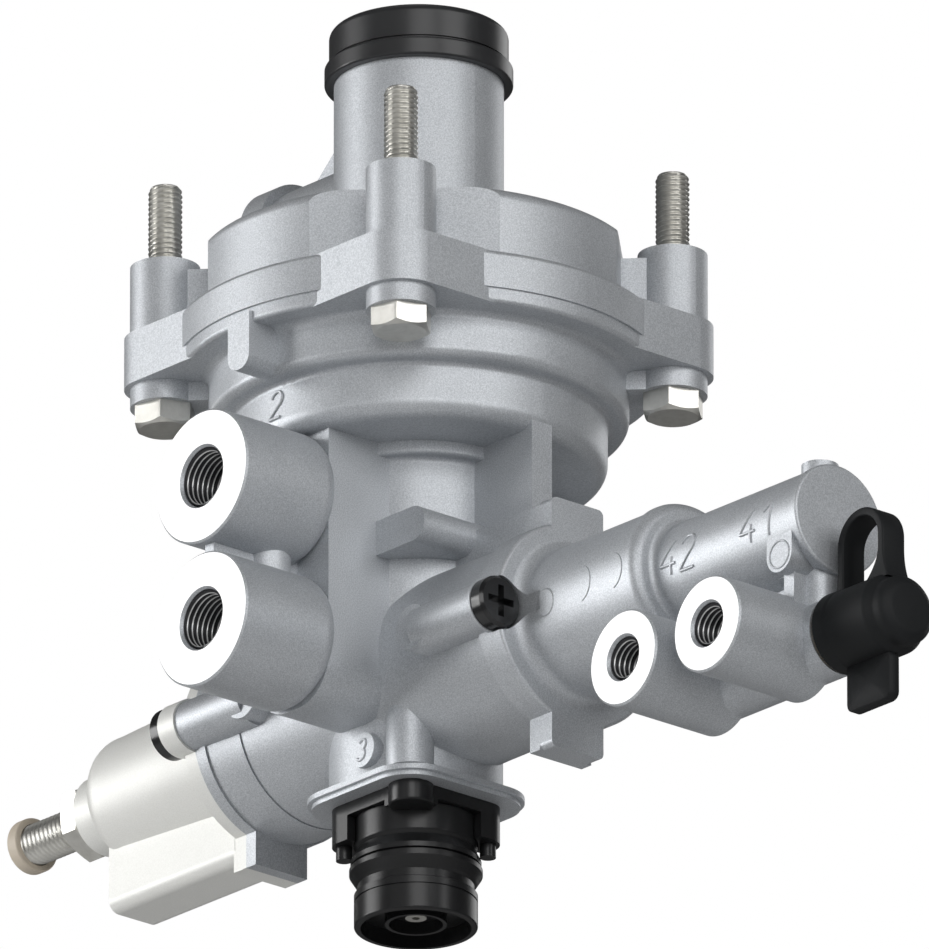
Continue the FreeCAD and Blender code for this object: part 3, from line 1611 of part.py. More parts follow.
# Cam, tappet and load pistons
def make_load_parts():
    z = d.axis_z
    slant = root(1 + d.cam_slope * d.cam_slope)
    ball_z = z + d.cam_low_r + (d.tappet_r + d.seat_gap) * slant
    rod_piece = turned(
        "tappet_rod",
        [
            (0, ball_z),
            (d.tappet_r, ball_z),
            (d.tappet_r, d.tappet_step_z),
            (d.tappet_rod_r, d.tappet_step_z + 1),
            (d.tappet_rod_r, d.tappet_top),
            (0, d.tappet_top),
        ],
    )
    keep("tappet", fuse("tappet_solid", [rod_piece, ball("tappet_ball", d.tappet_r, (0, 0, ball_z))]))
    land_r = d.load_bore_r - d.running_fit
    tail_r = d.cam_low_r - d.cam_slope * d.cam_tail_x
    nose_r = d.cam_low_r + d.cam_slope * d.cam_nose_x
    left_end = d.cam_left + d.cam_land
    right_start = d.cam_right - d.cam_land
    keep(
        "cam_slide",
        turned(
            "cam_slide_body",
            [
                (0, d.cam_left),
                (land_r, d.cam_left),
                (land_r, left_end),
                (tail_r, left_end),
                (tail_r, -d.cam_tail_x),
                (nose_r, d.cam_nose_x),
                (nose_r - 1, right_start),
                (land_r, right_start),
                (land_r, d.cam_right),
                (0, d.cam_right),
            ],
            "x", (0, 0, z),
        ),
    )
    starts = (
        ("load_piston_large", d.large_piston_x, d.large_piston_length, d.head_bore_one_r, d.cam_right),
        ("load_piston_small", d.small_piston_x, d.small_piston_length, d.head_bore_two_r,
         d.large_piston_x + d.large_piston_length),
    )
    for node, x, length, bore_r, rod_start in starts:
        piston_r = bore_r - d.running_fit
        ring_r = d.ring_section / 2
        ring_x = x + length / 2
        keep(
            node,
            turned(
                node + "_body",
                [
                    (0, rod_start),
                    (d.load_rod_r, rod_start),
                    (d.load_rod_r, x),
                    (piston_r, x),
                    (piston_r, ring_x - ring_r),
                    (piston_r - d.ring_section, ring_x - ring_r),
                    (piston_r - d.ring_section, ring_x + ring_r),
                    (piston_r, ring_x + ring_r),
                    (piston_r, x + length),
                    (0, x + length),
                ],
                "x", (0, 0, z),
            ),
        )
        keep(
            node + "_ring",
            ring(node + "_ring_torus", piston_r - ring_r, ring_r - 0.05, (ring_x, 0, z), "+x"),
        )


# Exhaust silencer below the neck
def make_silencer():
    corner = d.holder_post_offset + d.holder_post_r
    plate_z = d.foot_z - d.holder_plate
    skirt = padded(
        "holder_skirt", rounded_square(corner, d.holder_post_r), d.foot_z - d.holder_bottom,
        base=(d.neck_x, 0, d.holder_bottom),
    )
    collar_r = d.neck_bore_r - d.cap_fit
    collar = rod("holder_collar", collar_r, d.holder_collar, (d.neck_x, 0, d.foot_z))
    hooks = [
        rod(f"holder_hook_{name}", d.hook_r, d.holder_bottom - d.hook_bottom + 1,
            (d.neck_x + sign * d.hook_offset, sign * d.hook_offset, d.hook_bottom))
        for name, sign in (("left", -1), ("right", 1))
    ]
    below = d.holder_bottom - 1
    hollow = rod("holder_hollow", d.holder_bore_r, plate_z - below, (d.neck_x, 0, below))
    airway = rod("holder_airway", d.airway_r, d.holder_collar + d.holder_plate + 2,
                 (d.neck_x, 0, plate_z - 1))
    tools = [
        hollow,
        airway,
        block("holder_window_across", (d.neck_x - corner - 1, -d.holder_window, below),
              (d.neck_x + corner + 1, d.holder_window, plate_z)),
        block("holder_window_along", (d.neck_x - d.holder_window, -corner - 1, below),
              (d.neck_x + d.holder_window, corner + 1, plate_z)),
    ]
    for name, sign in (("front", 1), ("back", -1)):
        x, y = d.neck_x + sign * d.holder_post_offset, -sign * d.holder_post_offset
        tools.append(
            rod(f"holder_trim_{name}", d.holder_post_r + 1.5, d.holder_post_bottom - below,
                (x, y, below))
        )
    ring_r = d.seal_depth / 2 - 0.25
    groove_z = d.foot_z + d.holder_collar / 2
    groove = cut(
        "holder_groove",
        rod("holder_groove_outer", collar_r + 1, 2 * ring_r, (d.neck_x, 0, groove_z - ring_r)),
        [rod("holder_groove_inner", collar_r - 2 * ring_r, 2 * ring_r + 2,
             (d.neck_x, 0, groove_z - ring_r - 1))],
    )
    keep(
        "silencer_holder",
        cut("silencer_holder_cut", fuse("holder_solid", [skirt, collar, *hooks]), [*tools, groove]),
    )
    keep(
        "silencer_seal",
        ring("silencer_seal_ring", collar_r - ring_r, ring_r - d.seal_play, (d.neck_x, 0, groove_z)),
    )
    bottom = d.silencer_bottom
    floor = bottom + 4
    flap_z = floor + 2.5
    shoulder_r, lower_r, groove_r = d.silencer_shoulder_r, d.silencer_lower_r, d.silencer_groove_r
    pin_r = d.rivet_r * 0.6
    keep(
        "silencer_body",
        turned(
            "silencer_body_turned",
            [
                (d.airway_r, plate_z),
                (d.silencer_top_r, plate_z),
                (d.silencer_top_r, plate_z - 5.5),
                (groove_r, d.silencer_ring_z + 5.0),
                (shoulder_r, d.silencer_ring_z + 2.0),
                (shoulder_r, d.silencer_ring_z + 0.8),
                (shoulder_r - 0.7, d.silencer_ring_z + 0.6),
                (shoulder_r - 0.7, d.silencer_ring_z + 0.2),
                (d.silencer_r, d.silencer_ring_z),
                (d.silencer_r, d.silencer_ring_z - 1.2),
                (groove_r + 0.5, d.silencer_ring_z - 3.4),
                (groove_r, d.silencer_ring_z - 4.0),
                (groove_r, d.silencer_ring_z - 5.8),
                (lower_r, d.silencer_ring_z - 6.2),
                (lower_r, d.silencer_ring_z - 7.8),
                (lower_r - 0.3, d.silencer_ring_z - 7.9),
                (lower_r - 0.3, d.silencer_ring_z - 8.2),
                (lower_r, d.silencer_ring_z - 8.3),
                (lower_r, bottom, 0.5),
                (lower_r - d.silencer_wall, bottom),
                (lower_r - d.silencer_wall, floor),
                (d.silencer_inner_r, floor),
                (d.silencer_inner_r, bottom + 1),
                (d.silencer_inner_r - 0.9, bottom + 1),
                (d.silencer_inner_r - 0.9, floor),
                (pin_r, floor),
                (pin_r, flap_z),
                (d.airway_r, flap_z),
            ],
            base=(d.neck_x, 0, 0),
        ),
    )
    keep(
        "silencer_flap",
        turned(
            "silencer_flap_body",
            [
                (pin_r, flap_z),
                (d.airway_r - 1, flap_z),
                (d.airway_r - 1, flap_z + d.flap_thickness),
                (pin_r, flap_z + d.flap_thickness),
            ],
            base=(d.neck_x, 0, 0),
        ),
    )
    rivet_top = flap_z + d.flap_thickness
    stem_r = pin_r - 0.05
    keep(
        "silencer_rivet",
        turned(
            "silencer_rivet_body",
            [
                (d.rivet_hole_r, floor - d.rivet_head),
                (d.rivet_r, floor - d.rivet_head),
                (d.rivet_r, floor),
                (stem_r, floor),
                (stem_r, rivet_top),
                (d.rivet_r, rivet_top),
                (d.rivet_r, rivet_top + 1),
                (0, rivet_top + 1),
                (0, floor + 1),
                (d.rivet_hole_r, floor + 1),
            ],
            base=(d.neck_x, 0, 0),
        ),
    )


make_main_housing()
make_upper_cover()
make_top_cap()
make_cover_bolts()
make_end_screws()
make_bellows_head()
make_test_connection()
make_spring_housing()
make_adjuster()
make_control_parts()
make_relay_parts()
make_load_parts()
make_silencer()
document.recompute()

failures = [
    item.Name for item in document.Objects if {"Invalid", "Error"} & set(item.State)
]
for node, thing in exported:
    if thing.Shape.isNull() or not thing.Shape.isValid():
        failures.append(node)
if failures:
    raise RuntimeError("these objects failed: " + ", ".join(failures))

os.makedirs("parts", exist_ok=True)
for node, thing in exported:
    thing.Shape.exportStep(f"parts/{node}.step")
    print(node, len(thing.Shape.Solids), round(thing.Shape.Volume, 1))
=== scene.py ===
import math
import bpy
import numpy as np
from mathutils import Matrix, Vector


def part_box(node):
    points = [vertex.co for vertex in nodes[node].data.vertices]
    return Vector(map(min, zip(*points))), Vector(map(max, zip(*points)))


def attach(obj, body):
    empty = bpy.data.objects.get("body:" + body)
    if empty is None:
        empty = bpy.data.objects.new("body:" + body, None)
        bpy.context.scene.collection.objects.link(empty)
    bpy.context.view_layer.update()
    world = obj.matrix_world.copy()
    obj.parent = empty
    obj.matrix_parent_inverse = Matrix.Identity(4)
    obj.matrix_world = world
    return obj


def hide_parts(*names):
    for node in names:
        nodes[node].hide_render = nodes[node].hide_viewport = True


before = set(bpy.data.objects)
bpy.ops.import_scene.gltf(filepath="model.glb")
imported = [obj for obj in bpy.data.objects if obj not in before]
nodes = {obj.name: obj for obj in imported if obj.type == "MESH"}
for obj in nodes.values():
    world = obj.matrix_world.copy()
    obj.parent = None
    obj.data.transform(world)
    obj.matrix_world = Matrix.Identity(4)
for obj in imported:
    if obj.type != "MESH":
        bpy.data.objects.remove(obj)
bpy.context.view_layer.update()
mm = 0.001
print("frame loaded:", len(nodes), "nodes")


# shader helper: one class wraps a socket, so a pattern is an ordinary expression


class Wire:
    def __init__(self, tree, socket):
        self.tree = tree
        self.socket = socket

    def node(self, kind, settings=None, **inputs):
        # makes any node; settings first, then values or wires by socket name, or i0, i1 by number
        made = self.tree.nodes.new(kind)
        for key, value in (settings or {}).items():
            setattr(made, key, value)
        for key, value in inputs.items():
            slot = made.inputs[int(key[1:])] if key[1:].isdigit() else made.inputs[key.replace("_", " ")]
            if isinstance(value, Wire):
                self.tree.links.new(value.socket, slot)
            else:
                slot.default_value = value
        return made

    def out(self, made, name=0):
        return Wire(self.tree, made.outputs[name])

    def math(self, operation, *others, clamp=False):
        inputs = {f"i{index}": value for index, value in enumerate((self, *others))}
        return self.out(self.node("ShaderNodeMath", {"operation": operation, "use_clamp": clamp}, **inputs))

    def __add__(self, other):
        return self.math("ADD", other)

    __radd__ = __add__

    def __sub__(self, other):
        return self.math("SUBTRACT", other)

    def __rsub__(self, other):
        return -self + other

    def __mul__(self, other):
        return self.math("MULTIPLY", other)

    __rmul__ = __mul__

    def __truediv__(self, other):
        return self.math("DIVIDE", other)

    def __neg__(self):
        return self.math("MULTIPLY", -1.0)

    def below(self, limit, blur=0.00002):
        # 1 where the value is under the limit, with a narrow soft edge
        return ((limit - self) / blur).math("ADD", 0.5, clamp=True)

    def mix(self, first, second):
        # colour mix with this wire as the factor
        made = self.node("ShaderNodeMix", {"data_type": "RGBA"})
        self.tree.links.new(self.socket, made.inputs[0])
        for index, value in ((6, first), (7, second)):
            if isinstance(value, Wire):
                self.tree.links.new(value.socket, made.inputs[index])
            else:
                made.inputs[index].default_value = (*value, 1)
        return self.out(made, 2)


def newMaterial(name):
    material = bpy.data.materials.new(name)
    material.use_nodes = True
    tree = material.node_tree
    shader = next(item for item in tree.nodes if item.type == "BSDF_PRINCIPLED")
    place = Wire(tree, None).node("ShaderNodeTexCoord").outputs["Object"]
    return material, shader, Wire(tree, place)


def noise(place, scale, detail, rough):
    made = place.node("ShaderNodeTexNoise", None, Vector=place, Scale=scale, Detail=detail, Roughness=rough)
    return place.out(made)


def axes(place):
    made = place.node("ShaderNodeSeparateXYZ", None, Vector=place)
    return [place.out(made, index) for index in range(3)]


def connect(shader, **values):
    tree = shader.id_data
    for key, value in values.items():
        slot = shader.inputs[key.replace("_", " ")]
        if isinstance(value, Wire):
            tree.links.new(value.socket, slot)
        elif isinstance(value, tuple):
            slot.default_value = (*value, 1)
        else:
            slot.default_value = value


def bumpNormal(place, height, distance, strength):
    return place.out(place.node("ShaderNodeBump", None, Height=height, Distance=distance, Strength=strength))


def distanceTo(first, second, centre):
    # distance in a plane from a point, on two of the three axes
    across, along = first - centre[0], second - centre[1]
    return (across * across + along * along).math("SQRT")


# materials

castLook = {
    "light": (0.66, 0.68, 0.705),
    "dark": (0.37, 0.39, 0.415),
    "metal": 0.55,
    "rough": 0.46,
    "speckScale": 3200.0,
    "speckStart": 0.36,
    "speckSpan": 0.30,
    "speckShare": 0.7,
    "speckDepth": 0.00004,
    "cloudScale": 90.0,
    "cloudShare": 0.3,
    "cloudRough": 0.08,
    "markHalfWidth": 0.00022,
    "markDepth": 6.0,
    "machined": (0.93, 0.93, 0.93),
    "machinedRough": 0.35,
    # painted light: a faint glow on the machined faces, though they are no lamp
    "machinedPaintedGlow": 0.30,
}
lightLook = dict(castLook, light=(0.90, 0.90, 0.87), dark=(0.80, 0.80, 0.765), metal=0.15, rough=0.42)


def castMetal(name, look, machinedBelowY=None, machinedBelowZ=None, marks=()):
    # sand-cast aluminium: fine grains with a faint cloudiness, and machined port faces, bright as cut metal
    # and brightened further by a painted glow that stands in for light
    material, shader, place = newMaterial(name)
    x, y, z = axes(place)
    speck = noise(place, look["speckScale"], 2.0, 0.7)
    cloud = noise(place, look["cloudScale"], 3.0, 0.55)
    grain = ((speck - look["speckStart"]) / look["speckSpan"]).math("ADD", 0.0, clamp=True)
    colour = (grain * look["speckShare"] + cloud * look["cloudShare"]).mix(look["dark"], look["light"])
    rough = look["rough"] + cloud * look["cloudRough"]
    metal = look["metal"]
    height = speck
    for first, second, centre, radius, facing in marks:
        # ejector marks: a shallow ring groove, only on the side that faces the camera
        wires = {"x": x, "y": y, "z": z}
        away = distanceTo(wires[first], wires[second], centre)
        groove = (1.0 - (away - radius).math("ABSOLUTE") / look["markHalfWidth"]).math("MAXIMUM", 0.0)
        side = wires[facing[0]].below(facing[1])
        height = height - groove * side * look["markDepth"]
    if machinedBelowY is not None:
        face = y.below(machinedBelowY)
        if machinedBelowZ is not None:
            face = face * z.below(machinedBelowZ)
        colour = face.mix(colour, look["machined"])
        metal = look["metal"] * (1.0 - face)
        rough = rough * (1.0 - face) + look["machinedRough"] * face
        height = height * (1.0 - face)
        # painted light: the machined faces glow faintly, though they are no lamp, so that they show near
        # white
        glow = look["machinedPaintedGlow"]
        connect(shader, Emission_Color=face.mix((0, 0, 0), (glow, glow, glow)), Emission_Strength=1.0)
    connect(shader, Base_Color=colour, Roughness=rough, Metallic=metal,
            Normal=bumpNormal(place, height, look["speckDepth"], 0.6))
    return material


zincLook = {
    "light": (0.80, 0.79, 0.75),
    "dark": (0.52, 0.51, 0.47),
    "metal": 0.95,
    "rough": 0.27,
    "fineScale": 4200.0,
    "fineRough": 0.16,
    "fineDepth": 0.00001,
    "cloudScale": 350.0,
}


def zincSteel(name, look):
    # bright zinc plating: slightly warm, cloudy, with fine handling marks
    material, shader, place = newMaterial(name)
    cloud = noise(place, look["cloudScale"], 3.0, 0.6)
    fine = noise(place, look["fineScale"], 2.0, 0.6)
    connect(shader, Base_Color=cloud.mix(look["dark"], look["light"]), Metallic=look["metal"],
            Roughness=look["rough"] + fine * look["fineRough"],
            Normal=bumpNormal(place, fine, look["fineDepth"], 0.5))
    return material


glossLook = {
    "tone": 0.018,
    "rough": 0.27,
    "shine": 0.5,
    "fineScale": 3500.0,
    "fineRough": 0.12,
    "fineDepth": 0.000012,
    "cloudScale": 120.0,
}
silencerLook = dict(glossLook, tone=0.009, rough=0.24, shine=0.32)
screwLook = dict(glossLook, tone=0.010, rough=0.16)


def blackPlastic(name, look):
    # glossy black moulding with a very fine grain
    material, shader, place = newMaterial(name)
    fine = noise(place, look["fineScale"], 2.0, 0.5)
    cloud = noise(place, look["cloudScale"], 2.0, 0.5)
    tone = look["tone"]
    colour = cloud.mix((tone, tone, tone * 1.05), (tone * 1.7, tone * 1.75, tone * 1.85))
    connect(shader, Base_Color=colour, Roughness=look["rough"] + fine * look["fineRough"],
            Specular_IOR_Level=look["shine"], Normal=bumpNormal(place, fine, look["fineDepth"], 0.4))
    return material


rubberLook = {
    "light": (0.012, 0.013, 0.014),
    "dark": (0.008, 0.009, 0.010),
    "rough": 0.55,
    "shine": 0.22,
    "fineScale": 2600.0,
    "fineRough": 0.1,
    "fineDepth": 0.00002,
    "cloudScale": 80.0,
}


def mattRubber(name, look):
    # dark rubber with a soft sheen and a moulded grain
    material, shader, place = newMaterial(name)
    fine = noise(place, look["fineScale"], 3.0, 0.6)
    cloud = noise(place, look["cloudScale"], 2.0, 0.5)
    connect(shader, Base_Color=cloud.mix(look["dark"], look["light"]),
            Roughness=look["rough"] + fine * look["fineRough"], Specular_IOR_Level=look["shine"],
            Normal=bumpNormal(place, fine, look["fineDepth"], 0.5))
    return material


plainLooks = {
    # light tone, dark tone, roughness, metal
    "beigeCap": ((0.62, 0.55, 0.45), (0.55, 0.48, 0.39), 0.5, 0.0),
    "turnedBrass": ((0.70, 0.56, 0.30), (0.60, 0.46, 0.24), 0.28, 1.0),
    "turnedAluminium": ((0.78, 0.79, 0.80), (0.68, 0.69, 0.70), 0.32, 0.9),
    "springWire": ((0.42, 0.42, 0.43), (0.30, 0.30, 0.31), 0.35, 0.9),
}


def plainTone(name, light, dark, rough, metal):
    # one tone with a fine even grain
    material, shader, place = newMaterial(name)
    fine = noise(place, 900.0, 3.0, 0.6)
    connect(shader, Base_Color=fine.mix(dark, light), Roughness=rough + fine * 0.08, Metallic=metal,
            Normal=bumpNormal(place, fine, 0.00002, 0.5))
    return material


threadLook = {
    # crest: painted highlight colour along each crest; light and dark: flank tones kept near black as painted
    # shade
    "crest": (0.80, 0.80, 0.80),
    "crestStart": 0.72,
    "crestSpan": 0.2,
    "light": (0.05, 0.05, 0.055),
    "dark": (0.012, 0.012, 0.014),
    "metal": 0.5,
    "rough": 0.34,
    "fineScale": 3000.0,
    "fineRough": 0.1,
}


def threadedHole(name, look):
    # cut thread: painted shade darkens the flanks, and a painted highlight runs along each crest, which the
    # mesh marks
    material, shader, place = newMaterial(name)
    fine = noise(place, look["fineScale"], 2.0, 0.5)
    marked = place.node("ShaderNodeAttribute", {"attribute_name": "crest"})
    # painted highlight on the crests, laid over painted shade on the flanks
    crest = ((place.out(marked, "Fac") - look["crestStart"]) / look["crestSpan"]).math("ADD", 0.0, clamp=True)
    flank = fine.mix(look["dark"], look["light"])
    connect(shader, Base_Color=crest.mix(flank, look["crest"]), Metallic=look["metal"],
            Roughness=look["rough"] + fine * look["fineRough"])
    return material


def paint(names, material):
    for name in names:
        target = nodes[name]
        if not target.material_slots:
            target.data.materials.append(material)
        for slot in target.material_slots:
            slot.material = material


# surfaces from grids of points


def inMetres(rows):
    # rows of millimetres to metres
    return [tuple(value * mm for value in row) for row in rows]


def ringSurface(name, points, capFirst=True, capLast=True, smoothAngle=32.0):
    # points[i, j] is ring i, place j around; neighbouring rings are joined by quads and
    # the first and last ring are closed by a fan to their middle
    rings, around = points.shape[:2]
    grid = points.reshape(-1, 3)
    first = np.arange(rings - 1)[:, None] * around + np.arange(around)[None, :]
    following = np.arange(rings - 1)[:, None] * around + (np.arange(around)[None, :] + 1) % around
    quads = np.stack([first, following, following + around, first + around], axis=-1).reshape(-1, 4)
    faces = quads.tolist()
    extra = []
    if capFirst:
        centre = len(grid) + len(extra)
        extra.append(points[0].mean(axis=0))
        turn = np.arange(around)
        faces += np.stack([np.full(around, centre), (turn + 1) % around, turn], axis=-1).tolist()
    if capLast:
        centre = len(grid) + len(extra)
        extra.append(points[-1].mean(axis=0))
        turn = np.arange(around) + (rings - 1) * around
        after = (np.arange(around) + 1) % around + (rings - 1) * around
        faces += np.stack([np.full(around, centre), turn, after], axis=-1).tolist()
    if extra:
        grid = np.vstack([grid, np.array(extra)])
    mesh = bpy.data.meshes.new(name)
    mesh.from_pydata(grid.tolist(), [], faces)
    mesh.update()
    thing = bpy.data.objects.new(name, mesh)
    bpy.context.scene.collection.objects.link(thing)
    mesh.shade_smooth()
    mesh.set_sharp_from_angle(angle=math.radians(smoothAngle))
    return thing


def alongAxis(radius, height, turn, centre, direction):
    # polar grid to space: height runs along direction from centre, radius stands off it
    along = np.array(direction, float)
    helper = np.array([0.0, 0.0, 1.0]) if abs(along[2]) < 0.9 else np.array([1.0, 0.0, 0.0])
    aside = np.cross(helper, along)
    aside /= np.linalg.norm(aside)
    other = np.cross(along, aside)
    return (np.array(centre, float) + height[..., None] * along
            + (radius * np.cos(turn))[..., None] * aside + (radius * np.sin(turn))[..., None] * other)


def joinPieces(name, pieces, material, body, replaced=()):
    # several surfaces become one piece that rides on a body
    bpy.ops.object.select_all(action="DESELECT")
    for piece in pieces:
        piece.select_set(True)
    bpy.context.view_layer.objects.active = pieces[0]
    if len(pieces) > 1:
        bpy.ops.object.join()
    whole = pieces[0]
    whole.name = name
    whole.data.name = name
    whole.data.materials.clear()
    whole.data.materials.append(material)
    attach(whole, body)
    if replaced:
        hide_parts(*replaced)
    return whole


def roundCorners(corners, steps=7):
    # each corner (first, second, rounding) becomes an arc of that radius which touches both
    # neighbouring straight lines
    points = [np.array(corner[:2], float) for corner in corners]
    outline = [points[0]]
    for index in range(1, len(points) - 1):
        rounding = corners[index][2] if len(corners[index]) > 2 else 0.0
        corner = points[index]
        before, after = points[index - 1] - corner, points[index + 1] - corner
        longBefore, longAfter = np.linalg.norm(before), np.linalg.norm(after)
        before, after = before / longBefore, after / longAfter
        half = math.acos(float(np.clip(before @ after, -1, 1))) / 2
        if rounding <= 0 or half > 1.55:
            outline.append(corner)
            continue
        reach = min(rounding / math.tan(half), 0.49 * longBefore, 0.49 * longAfter)
        radius = reach * math.tan(half)
        middle = corner + (before + after) / np.linalg.norm(before + after) * radius / math.sin(half)
        begin, stop = corner + before * reach - middle, corner + after * reach - middle
        angle = math.atan2(begin[1], begin[0])
        sweep = math.atan2(begin[0] * stop[1] - begin[1] * stop[0], begin @ stop)
        for share in np.linspace(0, 1, steps):
            turn = angle + sweep * share
            outline.append(middle + radius * np.array([math.cos(turn), math.sin(turn)]))
    outline.append(points[-1])
    return np.array(outline)


def turnedSurface(name, corners, centre, direction, around=72):
    # lathe: the rounded profile (height, radius) goes once round the axis
    profile = roundCorners(corners)
    turn = np.tile(np.linspace(0, 2 * math.pi, around, endpoint=False), (len(profile), 1))
    height = np.repeat(profile[:, :1], around, axis=1)
    radius = np.repeat(profile[:, 1:2], around, axis=1)
    return ringSurface(name, alongAxis(radius, height, turn, centre, direction))


def roundedSection(halfFirst, halfSecond, rounding):
    # closed outline of a rectangle whose four corners are quarter circles, seen from its middle
    arc = np.linspace(0, math.pi / 2, 5)
    quarter = np.stack([np.cos(arc), np.sin(arc)], axis=1) * rounding
    outline = []
    for index, (signFirst, signSecond) in enumerate(((1, 1), (-1, 1), (-1, -1), (1, -1))):
        turned = quarter if index % 2 == 0 else quarter[::-1]
        reach = [halfFirst - rounding, halfSecond - rounding]
        outline.append(np.array([signFirst, signSecond]) * (turned + reach))
    return np.vstack(outline)


def threadSurface(name, crest, depth, pitch, start, length, centre, direction, around=48, steps=8,
                  inside=False, ends=True):
    # thread flank: radius = crest - depth * triangle(height / pitch - turn), a wave that climbs
    # one pitch per turn and is cut flat at its top and root; outside threads taper at their ends
    # over three quarters of a pitch
    count = int(round(length / pitch * steps)) + 1
    height = np.linspace(start, start + length, count)[:, None] * np.ones((1, around))
    turn = np.linspace(0, 2 * math.pi, around, endpoint=False)[None, :] * np.ones((count, 1))
    phase = np.mod(height / pitch - turn / (2 * math.pi), 1.0)
    wave = 1 - np.abs(2 * phase - 1)
    wave = np.clip((wave - 0.1) / 0.75, 0, 1)
    radius = crest + depth * wave if inside else crest - depth * wave
    if not inside:
        taper = np.clip(np.minimum(height - start, start + length - height) / (0.75 * pitch), 0, 1)
        radius = np.minimum(radius, crest - depth * (1 - taper))
    top = 1 - wave
    if inside:
        turn = turn[:, ::-1]
        radius = radius[:, ::-1]
        top = top[:, ::-1]
    thing = ringSurface(name, alongAxis(radius, height, turn, centre, direction), ends, ends, 50.0)
    marks = np.zeros(len(thing.data.vertices), dtype=np.float32)
    marks[:top.size] = top.reshape(-1)
    thing.data.attributes.new("crest", "FLOAT", "POINT").data.foreach_set("value", marks)
    return thing


# bolts: hexagon heads below the lugs, free threads above the bosses

boltShape = {
    "offset": 41.9 * mm,
    "seat": -35.1 * mm,
    "shankRadius": 3.6 * mm,
    "pitch": 1.25 * mm,
    "threadDepth": 0.62 * mm,
    "crest": 4.0 * mm,
    "threadBelowTop": 24.0 * mm,
    "headHalfFlats": 6.5 * mm,
    "headFace": 5.9 * mm,
    "headMiddle": 0.5 * mm,
    "hexTurn": math.radians(19.0),
}


def hexagonHead(name, shape, seat, height, centre, direction):
    # hexagon radius = half flats / cos(angle from the flat's middle); its outer face is bevelled
    # by a cone, so the edge sinks where the corners reach out
    turn = np.linspace(0, 2 * math.pi, 96, endpoint=False)
    local = np.mod(turn - shape["hexTurn"], math.pi / 3) - math.pi / 6
    hexagon = shape["headHalfFlats"] / np.cos(local)
    sink = np.maximum(hexagon - shape["headFace"], 0) * math.tan(math.radians(30))
    middle = np.full_like(turn, shape["headMiddle"])
    radii = np.stack([middle, hexagon, hexagon, np.full_like(turn, shape["headFace"]), middle])
    heights = np.stack([np.full_like(turn, seat), np.full_like(turn, seat), seat + height - sink,
                        np.full_like(turn, seat + height), np.full_like(turn, seat + height)])
    points = alongAxis(radii, heights, np.tile(turn, (5, 1)), centre, direction)
    return ringSurface(name, points, smoothAngle=24.0)


def makeBolts(shape, material):
    low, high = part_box("cover_bolts")
    begin = high.z - shape["threadBelowTop"]
    up, down = (0, 0, 1), (0, 0, -1)
    pieces = []
    for sideX in (1, -1):
        for sideY in (1, -1):
            where = (sideX * shape["offset"], sideY * shape["offset"], 0)
            pieces.append(threadSurface("boltThread", shape["crest"], shape["threadDepth"], shape["pitch"],
                                        begin, shape["threadBelowTop"], where, up))
            shank = [(shape["seat"], shape["shankRadius"]), (begin + mm, shape["shankRadius"])]
            pieces.append(turnedSurface("boltShank", shank, where, up, 32))
            headHeight = shape["seat"] - low.z
            pieces.append(hexagonHead("boltHead", shape, -shape["seat"], headHeight, where, down))
    return joinPieces("threadedBolts", pieces, material, "housing", ("cover_bolts",))


# adjusting screw with its thread

spindleShape = {
    "pitch": 1.5 * mm,
    "threadDepth": 0.75 * mm,
    "crest": 5.0 * mm,
    "collar": [(-97.7 * mm, 4.5 * mm), (-97.7 * mm, 8.0 * mm, 0.3 * mm), (-95.4 * mm, 8.0 * mm, 0.3 * mm),
               (-95.4 * mm, 4.5 * mm)],
}


def makeSpindle(shape, material):
    low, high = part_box("adjusting_screw")
    centre = (0, 0, (low.z + high.z) / 2)
    thread = threadSurface("spindleThread", shape["crest"], shape["threadDepth"], shape["pitch"],
                           low.x, high.x - low.x, centre, (1, 0, 0))
    collar = turnedSurface("spindleCollar", shape["collar"], centre, (1, 0, 0))
    return joinPieces("threadedSpindle", [thread, collar], material, "adjuster",
                      ("adjusting_screw",))


# cut threads in the ports: the crests stand just inside each bore

portThreads = {
    "depth": 0.8 * mm,
    "pitch": 1.5 * mm,
    "start": 0.9 * mm,
    "clear": 0.04 * mm,
    "around": 56,
    "stepsPerPitch": 12,
    # bore radius, mouth, direction into the metal, length, in millimetres
    "ports": {
        "upperDelivery": (7.25, (0, -66.6, -70.0), (0, 1, 0), 13.0),
        "lowerDelivery": (7.25, (0, -66.6, -105.2), (0, 1, 0), 13.0),
        "supply": (10.25, (0, 60.0, -73.0), (0, -1, 0), 14.0),
        "pilot": (7.25, (-50.0, 0, 19.0), (1, 0, 0), 13.0),
        "bellowsOne": (5.25, (104.1, -28.4, -135.05), (0, 1, 0), 11.0),
        "bellowsTwo": (5.25, (133.2, -28.4, -135.05), (0, 1, 0), 11.0),
    },
}


def makePortThreads(shape, material):
    pieces = []
    for name, (bore, mouth, inward, length) in shape["ports"].items():
        crest = bore * mm - shape["depth"] - shape["clear"]
        pieces.append(threadSurface(name, crest, shape["depth"], shape["pitch"], shape["start"], length * mm,
                                    inMetres([mouth])[0], inward, shape["around"], shape["stepsPerPitch"],
                                    inside=True, ends=False))
    return joinPieces("portThreads", pieces, material, "housing")


# plain raised numbers: thin round beads that follow the surface they stand on

portNumbers = {
    # text, height, middle, and the radius of the cylinder round the long axis or None for a flat
    # face, in millimetres
    "texts": {
        "delivery": ("2", 6.4, (0.3, -44.1, -46.9), None),
        "bellowsOne": ("42", 7.9, (105.4, -12.9, -106.4), 12.9),
        "bellowsTwo": ("41", 7.9, (133.0, -12.9, -106.4), 12.9),
        "exhaust": ("3", 4.8, (4.2, -21.0, -127.6), None),
    },
    "axisHeight": -106.4,
    # in shares of the height
    "slant": 0.2,
    "advance": 0.84,
    "width": 0.62,
    "rounding": 0.03,
    "bead": 0.42 * mm,
    "sunk": 0.02 * mm,
    "steps": 40,
}


